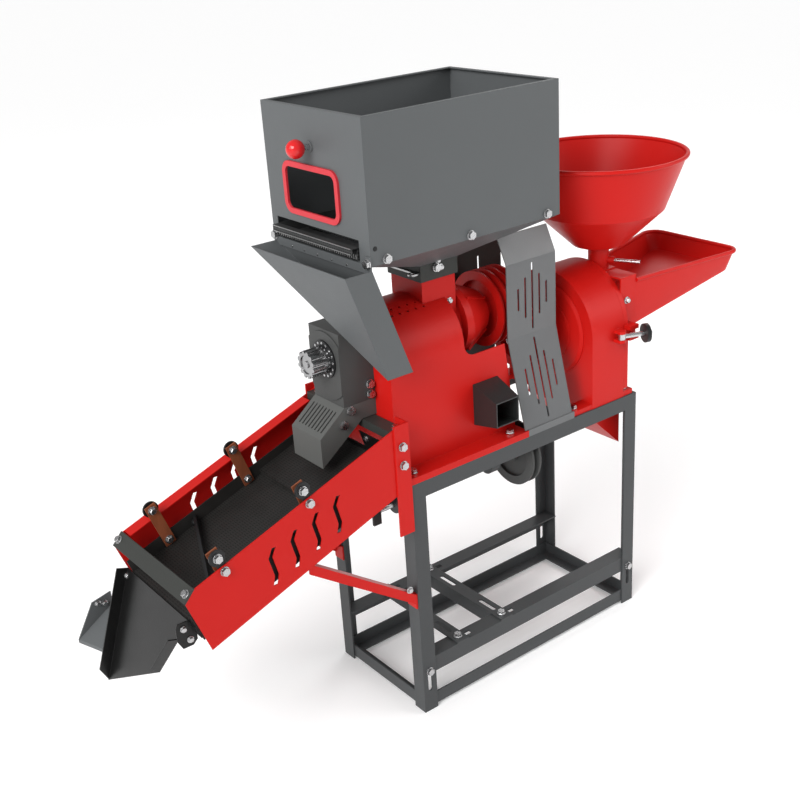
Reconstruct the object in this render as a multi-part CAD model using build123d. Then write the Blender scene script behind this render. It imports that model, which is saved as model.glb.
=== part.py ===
from build123d import *
import math
import os

# Rice huller: a small rice mill and a crusher on one angle-iron stand, with a grain
# hopper on top and a sloping screen tray that shakes on four leaf springs.
# Millimetres. While it is built, X runs from the screen to the crusher, Y from the
# near side to the far side and Z up from the floor, with zero at the near front leg.
# The finished parts are moved so that the origin is under the middle of the whole.

# Common sizes
fit_gap = 0.05
seat_gap = 0.3
overrun = 5.0
sheet = 2.0
plate = 3.0
bolt_head_radius = 7.0
bolt_head_height = 5.0
washer_radius = 8.0
washer_height = 1.5
slot_width = 9.0
shaft_radius = 12.5
bearing_radius = 26.0
bearing_width = 15.0

# Stand
stand_length = 556.0
stand_width = 255.0
table_height = 470.0
leg_width = 30.0
angle_wall = 3.0
base_rail_width = 25.0
base_rail_z = 6.0
leg_slot_bottom = 43.0
leg_slot_top = 92.0
motor_rail_bottom = 77.0
motor_rail_width = 32.0
motor_bar_width = 28.0
motor_bar_front_x = 100.0
motor_bar_spacing = 109.0
motor_slot_first_y = 60.0
motor_slot_length = 46.0
motor_slot_width = 9.0
motor_slot_spacing = 118.0
rail_bolt_z = 86.0
rail_slot_length = 30.0

# Mill
mill_y = 127.0
mill_z = 685.0
cover_arch_radius = 90.0
cover_arch_z = 665.0
cover_length = 252.0
cover_foot_length = 272.0
cover_slant_bottom = 489.0
cover_flange_z = 482.0
cover_notch_x = 160.0
cover_notch_z = 646.0
cover_notch_radius = 22.0
vent_radius = 2.2
vent_pitch = 17.0
vent_count = 5
mill_mouth_radius = 40.0
screen_radius = 44.0
screen_front_x = 4.0
barrel_front_x = 105.0
barrel_rear_x = 190.0
barrel_radius = 50.0
barrel_wall = 9.0
barrel_flange_radius = 58.0
barrel_flange_thickness = 6.0
bell_radius = 66.0
bell_nose_radius = 40.0
bell_rim_x = 205.0
bell_rear_x = 262.0
rotor_front_x = 16.0
rotor_core_radius = 28.0
rotor_rib_radius = 37.0
auger_core_radius = 22.0
auger_radius = 40.0
auger_pitch = 40.0
auger_blade = 5.0
mill_pulley_radius = 70.0
mill_pulley_front_x = 270.0
mill_pulley_width = 55.0
groove_pitch = 17.0
groove_depth = 11.0
groove_top = 13.0
groove_bottom = 8.0
mill_base_front_x = 20.0
mill_base_rear_x = 250.0
mill_base_half_width = 65.0
mill_base_top = 600.0
mill_base_wall = 5.0
mill_foot_width = 30.0
mill_foot_height = 8.0

# Feed inlet and slide gate
inlet_front_x = 112.0
inlet_rear_x = 185.0
inlet_half_width = 42.0
inlet_bottom = 745.0
inlet_top = 783.0
inlet_wall = 5.0
gate_box_top = 812.0
gate_box_margin = 4.0
gate_thickness = 3.0
gate_z = 796.0
gate_front_x = 104.0
gate_ear_length = 12.0
gate_ear_half_width = 8.0
gate_hole_radius = 3.5
gate_travel = 45.0

# Bran duct
duct_front_x = 175.0
duct_rear_x = 232.0
duct_bottom = 514.0
duct_top = 591.0
duct_mouth_y = -20.0
duct_mouth_front_x = 178.0
duct_mouth_rear_x = 230.0
duct_mouth_bottom = 524.0
duct_mouth_top = 570.0

# Outlet head, knob and hood
head_front_x = -65.0
head_half_width = 43.0
head_bottom = 608.0
head_top = 737.0
head_disc_radius = 60.0
head_disc_thickness = 2.0
ring_outer_radius = 33.0
ring_thickness = 3.0
knob_radius = 24.0
knob_length = 34.0
knob_flute_radius = 3.6
knob_flute_count = 12
plug_radius = 38.0
plug_thickness = 12.0
stem_radius = 8.0
hood_front_x = -117.0
hood_shoulder_z = 567.0
hood_front_bottom = 514.0
hood_rear_bottom = 578.0
hood_rear_x = -30.0
louvre_count = 8
louvre_width = 3.5
louvre_margin = 11.0

# Grain hopper
hopper_front_x = -56.0
hopper_rear_x = 343.0
hopper_near_y = -10.0
hopper_far_y = 264.0
hopper_bottom = 868.0
hopper_top = 1093.0
hopper_lip = 8.0
slot_near_y = 18.0
slot_far_y = 248.0
slot_bottom = 870.0
slot_top = 905.0
window_near_y = 58.0
window_far_y = 212.0
window_bottom = 919.0
window_top = 1005.0
window_bar = 9.0
window_corner = 20.0
window_frame_thickness = 4.0
sieve_bottom = 873.0
sieve_height = 20.0
sieve_length = 378.0
sieve_travel = 150.0
sieve_slot_pitch = 26.0
sieve_slot_width = 8.0
rod_radius = 4.0
rod_y = 131.0
rod_z = 1034.0
rod_front_x = -76.0
rod_length = 136.0
shutter_width = 80.0
shutter_height = 88.0
shutter_travel = 50.0
bush_radius = 9.0
bush_length = 10.0
ball_radius = 15.0
ball_x = -82.0

# Debris chute
chute_front_x = -107.0
chute_top = 862.0
chute_near_y = -12.0
chute_far_y = 258.0
chute_bottom = 678.0
chute_lean = 66.0
chute_outlet_width = 56.0
chute_ear_width = 14.0
chute_ear_far_y = 262.0
chute_ear_height = 22.0

# Belt guard
guard_front_x = 265.0
guard_rear_x = 383.0
guard_foot_y = 2.0
guard_foot_z = 483.0
guard_face_y = 42.0
guard_lower_bend = 646.0
guard_upper_bend = 784.0
guard_top_y = 64.0
guard_top_z = 830.0
guard_slot_width = 4.5
guard_slot_shares = (0.3, 0.55, 0.9, 0.55, 0.3)
guard_slot_pitch = 17.0
guard_slot_first_x = 292.0
guard_foot_depth = 26.0

# Crusher
crusher_front_x = 437.0
crusher_rear_x = 522.0
crusher_y = 116.0
crusher_z = 607.0
crusher_radius = 114.0
crusher_wall = 5.0
crusher_base_front_x = 388.0
crusher_base_rear_x = 548.0
crusher_base_thickness = 10.0
housing_disc_radius = 92.0
housing_step_radius = 62.0
housing_radius = 38.0
housing_front_x = 392.0
housing_disc_x = 428.0
crusher_pulley_radius = 55.0
crusher_pulley_front_x = 345.0
crusher_pulley_width = 40.0
crusher_shaft_front_x = 338.0
crusher_shaft_rear_x = 500.0
ring_screen_radius = 106.0
rotor_disc_radius = 96.0
rotor_disc_x = 466.0
rotor_disc_thickness = 10.0
claw_radius = 86.0
claw_size = 11.0
claw_length = 20.0
rotor_claw_turns = (0, 45, 90, 135, 180, 225, 270, 315)
door_claw_turns = (22, 112, 157, 202, 247, 292, 337)
door_claw_radius = 66.0
door_claw_length = 30.0
door_thickness = 11.0
door_rib_radius = 70.0
door_rib_thickness = 6.0
hinge_x = 532.0
hinge_y = 240.0
hinge_pin_radius = 4.0
hinge_knuckle_radius = 8.0
hinge_bottom = 566.0
hinge_height = 84.0
outlet_near_y = 34.0
outlet_far_y = 190.0
outlet_front_x = 450.0
outlet_rear_x = 520.0
outlet_drop = 22.0
outlet_lip_x = 546.0
outlet_lip_z = 355.0
outlet_mouth = 72.0

# Feed throat, tray and funnel on the door
throat_rear_x = 575.0
throat_near_y = 22.0
throat_far_y = 150.0
throat_bottom = 602.0
throat_top = 700.0
tray_rear_x = 855.0
tray_near_y = -3.0
tray_far_y = 232.0
tray_rim_z = 688.0
tray_rear_bottom = 652.0
tray_inset = 16.0
rim_radius = 4.0
funnel_x = 555.0
funnel_y = 100.0
funnel_rim_z = 919.0
funnel_rim_radius = 160.0
funnel_waist_z = 819.0
funnel_waist_radius = 123.0
funnel_throat_z = 750.0
funnel_throat_radius = 50.0
funnel_neck_radius = 20.0
lock_screw_radius = 3.5
lock_screw_length = 62.0
lock_screw_z = 718.0
lock_screw_turn = 25.0
lock_boss_radius = 7.0
lock_boss_length = 12.0

# Door latch
latch_x = 502.0
latch_y = -10.0
latch_z = 602.0
latch_rest_turn = 23.0
latch_pin_radius = 3.0
latch_ear_radius = 8.0
latch_ear_thickness = 6.0
latch_eye_height = 11.0
latch_rod_radius = 4.5
latch_rod_length = 60.0
fork_length = 24.0
fork_height = 28.0
fork_slot = 12.0
fork_tip = 2.0
nut_radius = 18.0
nut_length = 8.0
nut_rim = 5.0
nut_hub_radius = 8.0
nut_recess = 3.0

# Sloping trough. Its own directions are u along the slope and w square to it,
# with zero where the panels' lower edge line meets the stand.
trough_angle = 19.0
trough_zero_z = 471.7
panel_height = 115.0
panel_front_u = -423.0
panel_chamfer_u = 24.0
panel_chamfer_w = 13.0
far_flange_width = 24.0
panel_far_drop = 9.0
wave_slot_count = 4
wave_slot_first_u = -286.0
wave_slot_pitch = 44.6
wave_slot_width = 8.0
wave_slot_bottom = 20.0
wave_slot_height = 63.0
bracket_bottom = 385.0
bracket_top = 590.0
bracket_bolt_low_z = 516.0
bracket_bolt_spacing = 34.0
cross_bar_width = 27.0
cross_bar_z = 577.0
spring_front_u = -346.0
spring_rear_u = -176.0
spring_pivot_w = 132.0
spring_far_drop = 7.0
spring_length = 86.0
spring_pitch = 66.0
spring_width = 20.0
spring_thickness = 3.0
disc_radius = 14.0
disc_spacer_radius = 6.0
tray_wall_gap = 8.0
tray_far_wall = 228.0
tray_front_u = -424.0
tray_step_u = -147.0
tray_rear_u = -12.0
screen_w = 48.0
upper_deck_w = 56.0
pan_w = 22.0
tray_wall_top = 72.0
tray_wall_bottom = 18.0
deflector_height = 18.0
deflector_thickness = 5.0
deflector_far_u = -291.0
deflector_near_u = -386.0
shake_travel = 2.0
strut_width = 20.0
strut_low_z = 236.0
strut_high_x = -212.0
strut_high_z = 402.0
end_chute_lean = 68.0
end_chute_drop = 194.0
end_chute_near_y = 30.0
end_chute_exit_y = 90.0
end_chute_far_y = 245.0
end_chute_near_drop_share = 0.56
end_chute_near_wall = 20.0
end_chute_near_wall_start_share = 0.35
end_chute_far_wall = 22.0
end_chute_cheek_width = 34.0
end_chute_cheek_height = 42.0
end_chute_cheek_corner = 8.0
side_chute_lip_x = -486.0
side_chute_lip_z = 249.0
side_chute_width = 58.0
side_chute_skew = 19.0
side_chute_run = 70.0
side_chute_rise = 44.0
side_chute_wall_start = 34.0
side_chute_wall_front = 15.0
side_chute_wall_rear = 23.0
side_chute_lip = 7.0

# Shaker drive under the mill
drive_y = 66.0
drive_z = 410.0
drive_shaft_radius = 8.0
drive_pulley_radius = 62.0
drive_pulley_x = 284.0
drive_pulley_width = 22.0
drive_shaft_rear_x = 318.0
drive_front_x = -50.0
eccentric_radius = 12.0
eccentric_offset = 2.0
eccentric_width = 16.0
pillow_front_x = 8.0
pillow_rear_x = 222.0
pillow_width = 20.0
pillow_half_depth = 20.0
fork_arm_thickness = 5.0


def block(x0, x1, y0, y1, z0, z1):
    """Box between two corners."""
    corner = (Align.MIN, Align.MIN, Align.MIN)
    return Pos(x0, y0, z0) * Box(x1 - x0, y1 - y0, z1 - z0, align=corner)


def rod(radius, start, end):
    """Round bar between two points."""
    span = Vector(*end) - Vector(*start)
    foot = (Align.CENTER, Align.CENTER, Align.MIN)
    return Plane(origin=start, z_dir=span) * Cylinder(radius, span.length, align=foot)


def rod_x(radius, x0, x1, y, z):
    return rod(radius, (x0, y, z), (x1, y, z))


def tube_x(outer, inner, x0, x1, y, z):
    return rod_x(outer, x0, x1, y, z) - rod_x(inner, x0 - overrun, x1 + overrun, y, z)


def group(shapes):
    """Separate solids that share one node."""
    return Compound([solid for shape in shapes for solid in shape.solids()])


def prism_xz(points, y0, y1):
    """Outline of (x, z) points carried from y0 to y1."""
    face = Face(Wire.make_polygon([(x, y0, z) for x, z in points]))
    return extrude(face, amount=y1 - y0, dir=(0, 1, 0))


def prism_yz(points, x0, x1):
    """Outline of (y, z) points carried from x0 to x1."""
    face = Face(Wire.make_polygon([(x0, y, z) for y, z in points]))
    return extrude(face, amount=x1 - x0, dir=(1, 0, 0))


def arch(radius, x0, x1, y, z, base_z):
    """Round-topped block: half disc above z, straight walls down to base_z."""
    return rod_x(radius, x0, x1, y, z) + block(x0, x1, y - radius, y + radius, base_z, z)


def turned_x(profile, y, z):
    """Outline of (x, radius) points turned about the line along X through y and z."""
    face = Face(Wire.make_polygon([(x, 0, r) for x, r in profile]))
    return Pos(0, y, z) * revolve(face, axis=Axis.X)


def slot_xz(x, z0, z1, width, y0, y1):
    """Upright round-ended slot cutter through a wall that faces Y."""
    half = width / 2
    body = block(x - half, x + half, y0, y1, z0 + half, z1 - half)
    ends = [rod(half, (x, y0, z), (x, y1, z)) for z in (z0 + half, z1 - half)]
    return body + ends[0] + ends[1]


def slot_y(x, y0, y1, width, z0, z1):
    """Round-ended slot cutter along Y through a level plate."""
    half = width / 2
    body = block(x - half, x + half, y0 + half, y1 - half, z0, z1)
    ends = [rod(half, (x, y, z0), (x, y, z1)) for y in (y0 + half, y1 - half)]
    return body + ends[0] + ends[1]


def bolt(point, direction):
    """Hexagon head on a washer, seated on a face at point."""
    washer = extrude(RegularPolygon(washer_radius, 12), washer_height)
    head = extrude(RegularPolygon(bolt_head_radius, 6), bolt_head_height)
    return Plane(origin=point, z_dir=direction) * (washer + Pos(0, 0, washer_height) * head)


def mitred_ring(x0, x1, y0, y1, z0, width, flange_on_top):
    """Four angle-iron rails, mitred at the corners, upright flange outside."""
    flange_z = z0 + width - angle_wall if flange_on_top else z0
    upright = block(x0, x1, y0, y1, z0, z0 + width) - block(
        x0 + angle_wall, x1 - angle_wall, y0 + angle_wall, y1 - angle_wall,
        z0 - overrun, z0 + width + overrun)
    level = block(x0, x1, y0, y1, flange_z, flange_z + angle_wall) - block(
        x0 + width, x1 - width, y0 + width, y1 - width,
        flange_z - overrun, flange_z + angle_wall + overrun)
    ring = upright + level
    near = [(x0, y0), (x1, y0), (x1 - width, y0 + width), (x0 + width, y0 + width)]
    far = [(x0, y1), (x0 + width, y1 - width), (x1 - width, y1 - width), (x1, y1)]
    front = [(x0, y0), (x0 + width, y0 + width), (x0 + width, y1 - width), (x0, y1)]
    rear = [(x1, y0), (x1, y1), (x1 - width, y1 - width), (x1 - width, y0 + width)]
    rails = []
    for outline in (near, far, front, rear):
        face = Face(Wire.make_polygon([(x, y, z0) for x, y in outline]))
        rails.append(ring & extrude(face, amount=width, dir=(0, 0, 1)))
    return group(rails)


# Stand

def make_legs():
    height = table_height - leg_width
    legs = []
    for x, step_x in ((0, 1), (stand_length, -1)):
        for y, step_y in ((0, 1), (stand_width, -1)):
            far_x = x + step_x * leg_width
            far_y = y + step_y * leg_width
            wall_x = x + step_x * angle_wall
            wall_y = y + step_y * angle_wall
            leg = block(min(x, far_x), max(x, far_x), min(y, wall_y), max(y, wall_y), 0, height)
            leg += block(min(x, wall_x), max(x, wall_x), min(y, far_y), max(y, far_y), 0, height)
            middle = x + step_x * leg_width / 2
            leg -= slot_xz(middle, leg_slot_bottom, leg_slot_top, slot_width,
                           min(y, wall_y) - overrun, max(y, wall_y) + overrun)
            legs.append(leg)
    return group(legs)


motor_rail_top = motor_rail_bottom + motor_rail_width
motor_bar_top = motor_rail_top + angle_wall


def make_motor_rails():
    x0 = angle_wall + seat_gap
    x1 = stand_length - x0
    rails = []
    for wall_y, step in ((angle_wall, 1), (stand_width - angle_wall, -1)):
        inner = wall_y + step * angle_wall
        edge = wall_y + step * motor_rail_width
        rail = block(x0, x1, min(wall_y, inner), max(wall_y, inner), motor_rail_bottom, motor_rail_top)
        rail += block(x0, x1, min(wall_y, edge), max(wall_y, edge), motor_rail_top - angle_wall, motor_rail_top)
        middle = (wall_y + edge) / 2
        for index in range(2):
            x = motor_bar_front_x + index * motor_bar_spacing
            rail -= block(x, x + rail_slot_length, middle - slot_width / 2, middle + slot_width / 2,
                          motor_rail_top - angle_wall - overrun, motor_rail_top + overrun)
        rails.append(rail)
    return group(rails)


def make_motor_bars():
    """Two angle irons across the rails, their hanging flanges facing away from each other's slots."""
    bars = []
    for index, side in ((0, 1), (1, -1)):
        x = motor_bar_front_x + index * motor_bar_spacing
        half = motor_bar_width / 2
        bar = block(x - half, x + half, angle_wall, stand_width - angle_wall, motor_rail_top, motor_bar_top)
        flange_x = x + side * half
        inner_x = flange_x - side * angle_wall
        clear = angle_wall + motor_rail_width + seat_gap
        bar += block(min(flange_x, inner_x), max(flange_x, inner_x), clear, stand_width - clear,
                     motor_bar_top - motor_bar_width, motor_bar_top)
        for y in (motor_slot_first_y, motor_slot_first_y + motor_slot_spacing):
            bar -= slot_y(x, y - motor_slot_length / 2, y + motor_slot_length / 2,
                          motor_slot_width, motor_rail_top - overrun, motor_bar_top + overrun)
        bars.append(bar)
    return group(bars)


def make_stand_bolts():
    bolts = []
    for x in (leg_width / 2, stand_length - leg_width / 2):
        bolts.append(bolt((x, 0, rail_bolt_z), (0, -1, 0)))
        bolts.append(bolt((x, stand_width, rail_bolt_z), (0, 1, 0)))
    for index in range(2):
        x = motor_bar_front_x + index * motor_bar_spacing
        for y in (angle_wall + motor_rail_width / 2, stand_width - angle_wall - motor_rail_width / 2):
            bolts.append(bolt((x, y, motor_bar_top), (0, 0, 1)))
    return group(bolts + trough_bolts())


# Mill

def cover_outline(inset):
    """Arched cover as a solid, taken in by inset at the top and on both sides."""
    body = arch(cover_arch_radius - inset, 0, cover_foot_length, mill_y, cover_arch_z, table_height)
    return body + block(0, cover_foot_length, inset, 2 * mill_y - inset, table_height, cover_flange_z - inset)


def make_mill_cover():
    below = block(sheet, cover_foot_length + overrun, sheet, 2 * mill_y - sheet,
                  table_height - overrun, cover_flange_z - sheet)
    shell = cover_outline(0) - Pos(sheet, 0, 0) * cover_outline(sheet) - below
    top = cover_arch_z + cover_arch_radius + overrun
    slant = prism_xz(
        [(cover_foot_length, cover_slant_bottom), (cover_length, cover_notch_z),
         (cover_notch_x, cover_notch_z), (cover_notch_x, top),
         (cover_foot_length + overrun, top), (cover_foot_length + overrun, cover_slant_bottom)],
        -overrun, 2 * mill_y + overrun)
    shell -= slant
    shell = fillet_notch(shell)
    shell -= rod_x(mill_mouth_radius, -overrun, sheet + overrun, mill_y, mill_z)
    shell -= block(inlet_front_x - seat_gap, cover_notch_x + overrun, mill_y - inlet_half_width - seat_gap,
                   mill_y + inlet_half_width + seat_gap, cover_arch_z, top)
    shell -= block(duct_front_x + plate - seat_gap, duct_rear_x - plate + seat_gap, -overrun,
                   mill_y, duct_bottom + plate - seat_gap, duct_top - plate + seat_gap)
    return shell - cover_vents()


def fillet_notch(shell):
    """Rounds the inner corner where the cover is cut away above the bearing bell."""
    corner = block(cover_notch_x, cover_notch_x + cover_notch_radius, 0, 2 * mill_y,
                   cover_notch_z, cover_notch_z + cover_notch_radius)
    centre_x = cover_notch_x + cover_notch_radius
    centre_z = cover_notch_z + cover_notch_radius
    corner -= rod(cover_notch_radius, (centre_x, -overrun, centre_z),
                  (centre_x, 2 * mill_y + overrun, centre_z))
    return shell + (corner & (cover_outline(0) - cover_outline(sheet)))


def cover_vents():
    """Two rows of small holes in the near shoulder of the arch."""
    cutters = None
    for row in range(2):
        angle = math.radians(112 + 9 * row)
        direction = (0, math.cos(angle), math.sin(angle))
        for index in range(vent_count):
            x = vent_pitch * (index + 2 + row / 2)
            start = Vector(x, mill_y, cover_arch_z)
            out = Vector(*direction) * (cover_arch_radius + overrun)
            inner = Vector(*direction) * (cover_arch_radius - overrun)
            cutter = rod(vent_radius, tuple(start + inner), tuple(start + out))
            cutters = cutter if cutters is None else cutters + cutter
    return cutters


def make_mill_base():
    y0 = mill_y - mill_base_half_width
    y1 = mill_y + mill_base_half_width
    top = mill_base_top
    foot_top = table_height + mill_foot_height
    body = block(mill_base_front_x, mill_base_rear_x, y0, y1, table_height, top)
    body -= block(mill_base_front_x + mill_base_wall, mill_base_rear_x - mill_base_wall,
                  y0 + mill_base_wall, y1 - mill_base_wall, table_height - overrun, top + overrun)
    for x in (mill_base_front_x, mill_base_rear_x - mill_foot_width):
        body += block(x, x + mill_foot_width, angle_wall, stand_width - angle_wall,
                      table_height, foot_top)
    saddle = mill_base_half_width - mill_base_wall
    for x, radius in ((mill_base_front_x, screen_radius), (barrel_rear_x - 9 * sheet, barrel_radius)):
        body += block(x, x + 2 * mill_base_wall, mill_y - saddle, mill_y + saddle, foot_top, mill_z)
        body -= rod_x(radius, x - overrun, x + 2 * mill_base_wall + overrun, mill_y, mill_z)
    body -= block(duct_front_x + plate, duct_rear_x - plate, y0 - overrun, y0 + mill_base_wall + overrun,
                  duct_bottom + plate, duct_top - plate)
    return body


def make_rice_screen():
    tube = tube_x(screen_radius, screen_radius - sheet, screen_front_x, barrel_front_x, mill_y, mill_z)
    columns = 5
    pitch = (barrel_front_x - screen_front_x) / columns
    for column in range(columns):
        x = screen_front_x + pitch * (column + 0.25)
        for row in range(5):
            angle = math.radians(210 + 30 * row)
            y = mill_y + screen_radius * math.cos(angle)
            z = mill_z + screen_radius * math.sin(angle)
            cut = Pos(x + pitch / 4, y, z) * Rot(math.degrees(angle), 0, 0) * Box(
                pitch / 2, 3 * sheet, sheet)
            tube -= cut
    return tube


def make_feed_casting():
    bore = barrel_radius - barrel_wall
    profile = [
        (barrel_front_x, bore), (barrel_front_x, barrel_flange_radius),
        (barrel_front_x + barrel_flange_thickness, barrel_flange_radius),
        (barrel_front_x + barrel_flange_thickness, barrel_radius),
        (barrel_rear_x, barrel_radius), (barrel_rear_x, bell_radius),
        (bell_rim_x, bell_radius), (bell_rear_x, bell_nose_radius),
        (bell_rear_x, bearing_radius), (barrel_rear_x + barrel_wall, bearing_radius),
        (barrel_rear_x + barrel_wall, shaft_radius + sheet),
        (barrel_rear_x, shaft_radius + sheet), (barrel_rear_x, bore)]
    body = turned_x(profile, mill_y, mill_z)
    throat = block(inlet_front_x, inlet_rear_x, mill_y - inlet_half_width,
                   mill_y + inlet_half_width, mill_z, inlet_bottom)
    throat -= rod_x(barrel_radius - sheet, inlet_front_x - overrun, inlet_rear_x + overrun, mill_y, mill_z)
    body += throat
    body -= block(inlet_front_x + inlet_wall, inlet_rear_x - inlet_wall,
                  mill_y - inlet_half_width + inlet_wall, mill_y + inlet_half_width - inlet_wall,
                  mill_z + bore / 2, inlet_bottom + overrun)
    rib = 2 * sheet
    for turn in (45, 135, 225, 315):
        fin = prism_xz([(bell_rim_x, bell_nose_radius), (bell_rim_x, bell_radius + rib),
                        (bell_rear_x, bell_nose_radius + rib), (bell_rear_x, bell_nose_radius - rib)],
                       -rib / 2, rib / 2)
        body += Pos(0, mill_y, mill_z) * Rot(turn, 0, 0) * fin
    return body


def bearing(x0, radius_in, y, z):
    return tube_x(bearing_radius, radius_in, x0, x0 + bearing_width, y, z)


def make_shaft_bearings():
    inner = shaft_radius + fit_gap
    first = barrel_rear_x + barrel_wall
    housing_first = housing_front_x + 2 * sheet
    rings = [
        bearing(first, inner, mill_y, mill_z),
        bearing(bell_rear_x - bearing_width, inner, mill_y, mill_z),
        bearing(housing_first, inner, crusher_y, crusher_z),
        bearing(crusher_front_x - bearing_width, inner, crusher_y, crusher_z)]
    return group(rings)


def make_mill_shaft():
    return rod_x(shaft_radius, rotor_front_x - 2 * sheet, mill_pulley_front_x + mill_pulley_width + overrun,
                 mill_y, mill_z)


def make_milling_rotor():
    rear = barrel_front_x - sheet
    body = rod_x(rotor_core_radius, rotor_front_x, rear, mill_y, mill_z)
    rib = rotor_rib_radius - rotor_core_radius
    for turn in (0, 90, 180, 270):
        bar = block(rotor_front_x, rear, -rib / 2, rib / 2, rotor_core_radius - rib, rotor_rib_radius)
        body += Pos(0, mill_y, mill_z) * Rot(turn, 0, 0) * bar
    auger_rear = barrel_rear_x - sheet
    body += rod_x(auger_core_radius, rear, auger_rear, mill_y, mill_z)
    length = auger_rear - rear - auger_blade
    path = Helix(pitch=auger_pitch, height=length, radius=auger_core_radius, center=(0, 0, 0), direction=(0, 0, 1))
    depth = auger_radius - auger_core_radius
    section = Plane(origin=path @ 0, z_dir=path % 0, x_dir=(1, 0, 0)) * Pos(depth / 2 - sheet / 2, 0) * Rectangle(
        depth + sheet, auger_blade)
    blade = sweep(section, path=path, is_frenet=True)
    blade = Pos(rear + auger_blade / 2, mill_y, mill_z) * Rot(0, 90, 0) * blade
    body += blade
    return body - rod_x(shaft_radius, -overrun, barrel_rear_x + overrun, mill_y, mill_z)


def pulley(radius, x0, width, grooves, bore, y, z):
    """Grooved belt pulley with a web between hub and rim."""
    rim = radius - groove_depth - 3 * sheet
    hub = bore + 4 * sheet
    web = width / 4
    body = rod_x(radius, x0, x0 + width, y, z)
    middle = x0 + width / 2
    for side in (-1, 1):
        x_in = middle + side * web
        x_out = middle + side * (width / 2 + overrun)
        body -= tube_x(rim, hub, min(x_in, x_out), max(x_in, x_out), y, z)
    first = middle - groove_pitch * (grooves - 1) / 2
    for index in range(grooves):
        x = first + groove_pitch * index
        cut = [(x - groove_top / 2, radius + overrun), (x - groove_top / 2, radius),
               (x - groove_bottom / 2, radius - groove_depth),
               (x + groove_bottom / 2, radius - groove_depth),
               (x + groove_top / 2, radius), (x + groove_top / 2, radius + overrun)]
        body -= turned_x(cut, y, z)
    return body - rod_x(bore, x0 - overrun, x0 + width + overrun, y, z)


def make_mill_pulley():
    return pulley(mill_pulley_radius, mill_pulley_front_x, mill_pulley_width, 3, shaft_radius, mill_y, mill_z)


# Feed inlet and gate

def square_tube(x0, x1, y0, y1, z0, z1, wall):
    outer = block(x0, x1, y0, y1, z0, z1)
    return outer - block(x0 + wall, x1 - wall, y0 + wall, y1 - wall, z0 - overrun, z1 + overrun)


def make_inlet_block():
    return square_tube(inlet_front_x, inlet_rear_x, mill_y - inlet_half_width,
                       mill_y + inlet_half_width, inlet_bottom, inlet_top, inlet_wall)


gate_box_front_x = inlet_front_x - gate_box_margin
gate_box_rear_x = inlet_rear_x + gate_box_margin
gate_box_near_y = mill_y - inlet_half_width - gate_box_margin
gate_box_far_y = mill_y + inlet_half_width + gate_box_margin


def make_gate_box():
    wall = gate_box_margin
    body = square_tube(gate_box_front_x, gate_box_rear_x, gate_box_near_y, gate_box_far_y,
                       inlet_top, gate_box_top, wall)
    ledge_top = gate_z - seat_gap
    for y in (gate_box_near_y + wall, gate_box_far_y - 2 * wall):
        body += block(gate_box_front_x + wall, gate_box_rear_x - wall, y, y + wall,
                      ledge_top - wall, ledge_top)
    return body - block(gate_box_front_x - overrun, gate_box_front_x + wall + overrun,
                        gate_box_near_y + wall, gate_box_far_y - wall,
                        ledge_top, gate_z + gate_thickness + seat_gap)


def make_feed_gate():
    wall = gate_box_margin
    y0 = gate_box_near_y + wall + seat_gap
    y1 = gate_box_far_y - wall - seat_gap
    top = gate_z + gate_thickness
    body = block(gate_front_x, gate_box_rear_x - wall - seat_gap, y0, y1, gate_z, top)
    ear_y = y0 + gate_ear_half_width
    ear_x = gate_front_x - gate_ear_length + gate_ear_half_width
    body += block(ear_x, gate_front_x, y0, y0 + 2 * gate_ear_half_width, gate_z, top)
    body += rod(gate_ear_half_width, (ear_x, ear_y, gate_z), (ear_x, ear_y, top))
    return body - rod(gate_hole_radius, (ear_x, ear_y, gate_z - overrun), (ear_x, ear_y, top + overrun))


def frustum_y(near, far, y_near, y_far):
    """Four-sided taper between two upright rectangles (x0, x1, z0, z1)."""
    sections = []
    for (x0, x1, z0, z1), y in ((near, y_near), (far, y_far)):
        corners = [(x0, y, z0), (x1, y, z0), (x1, y, z1), (x0, y, z1)]
        sections.append(Face(Wire.make_polygon(corners)))
    return loft(sections)


def make_bran_duct():
    wall_y = mill_y - cover_arch_radius
    inner_y = mill_y - mill_base_half_width
    near = (duct_mouth_front_x, duct_mouth_rear_x, duct_mouth_bottom, duct_mouth_top)
    far = (duct_front_x, duct_rear_x, duct_bottom, duct_top)
    body = frustum_y(near, far, duct_mouth_y, wall_y)
    neck = (duct_front_x + plate, duct_rear_x - plate, duct_bottom + plate, duct_top - plate)
    body += block(neck[0], neck[1], wall_y, inner_y, neck[2], neck[3])
    inset = [(x0 + sheet, x1 - sheet, z0 + sheet, z1 - sheet) for x0, x1, z0, z1 in (near, far)]
    body -= frustum_y(inset[0], inset[1], duct_mouth_y - seat_gap, wall_y - sheet)
    x0, x1, z0, z1 = neck
    return body - block(x0 + sheet, x1 - sheet, wall_y - overrun, inner_y + overrun, z0 + sheet, z1 - sheet)


# Outlet head

head_near_y = mill_y - head_half_width
head_far_y = mill_y + head_half_width
ring_front_x = head_front_x - head_disc_thickness - ring_thickness
knob_rear_x = ring_front_x - seat_gap
knob_front_x = knob_rear_x - knob_length
plug_rear_x = -sheet


def make_outlet_head():
    body = block(head_front_x, 0, head_near_y, head_far_y, head_bottom, head_top)
    body -= block(head_front_x + plate, overrun, head_near_y + plate, head_far_y - plate,
                  head_bottom - overrun, head_top - plate)
    face_x = head_front_x - head_disc_thickness
    pad = rod_x(head_disc_radius, face_x, head_front_x, mill_y, mill_z - 6 * sheet)
    pad &= block(face_x, head_front_x, head_near_y, head_far_y, head_bottom, head_top)
    body += pad
    return body - rod_x(stem_radius + fit_gap, face_x - overrun, head_front_x + plate + overrun, mill_y, mill_z)


def make_index_ring():
    return tube_x(ring_outer_radius, stem_radius + fit_gap, ring_front_x, ring_front_x + ring_thickness, mill_y, mill_z)


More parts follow.
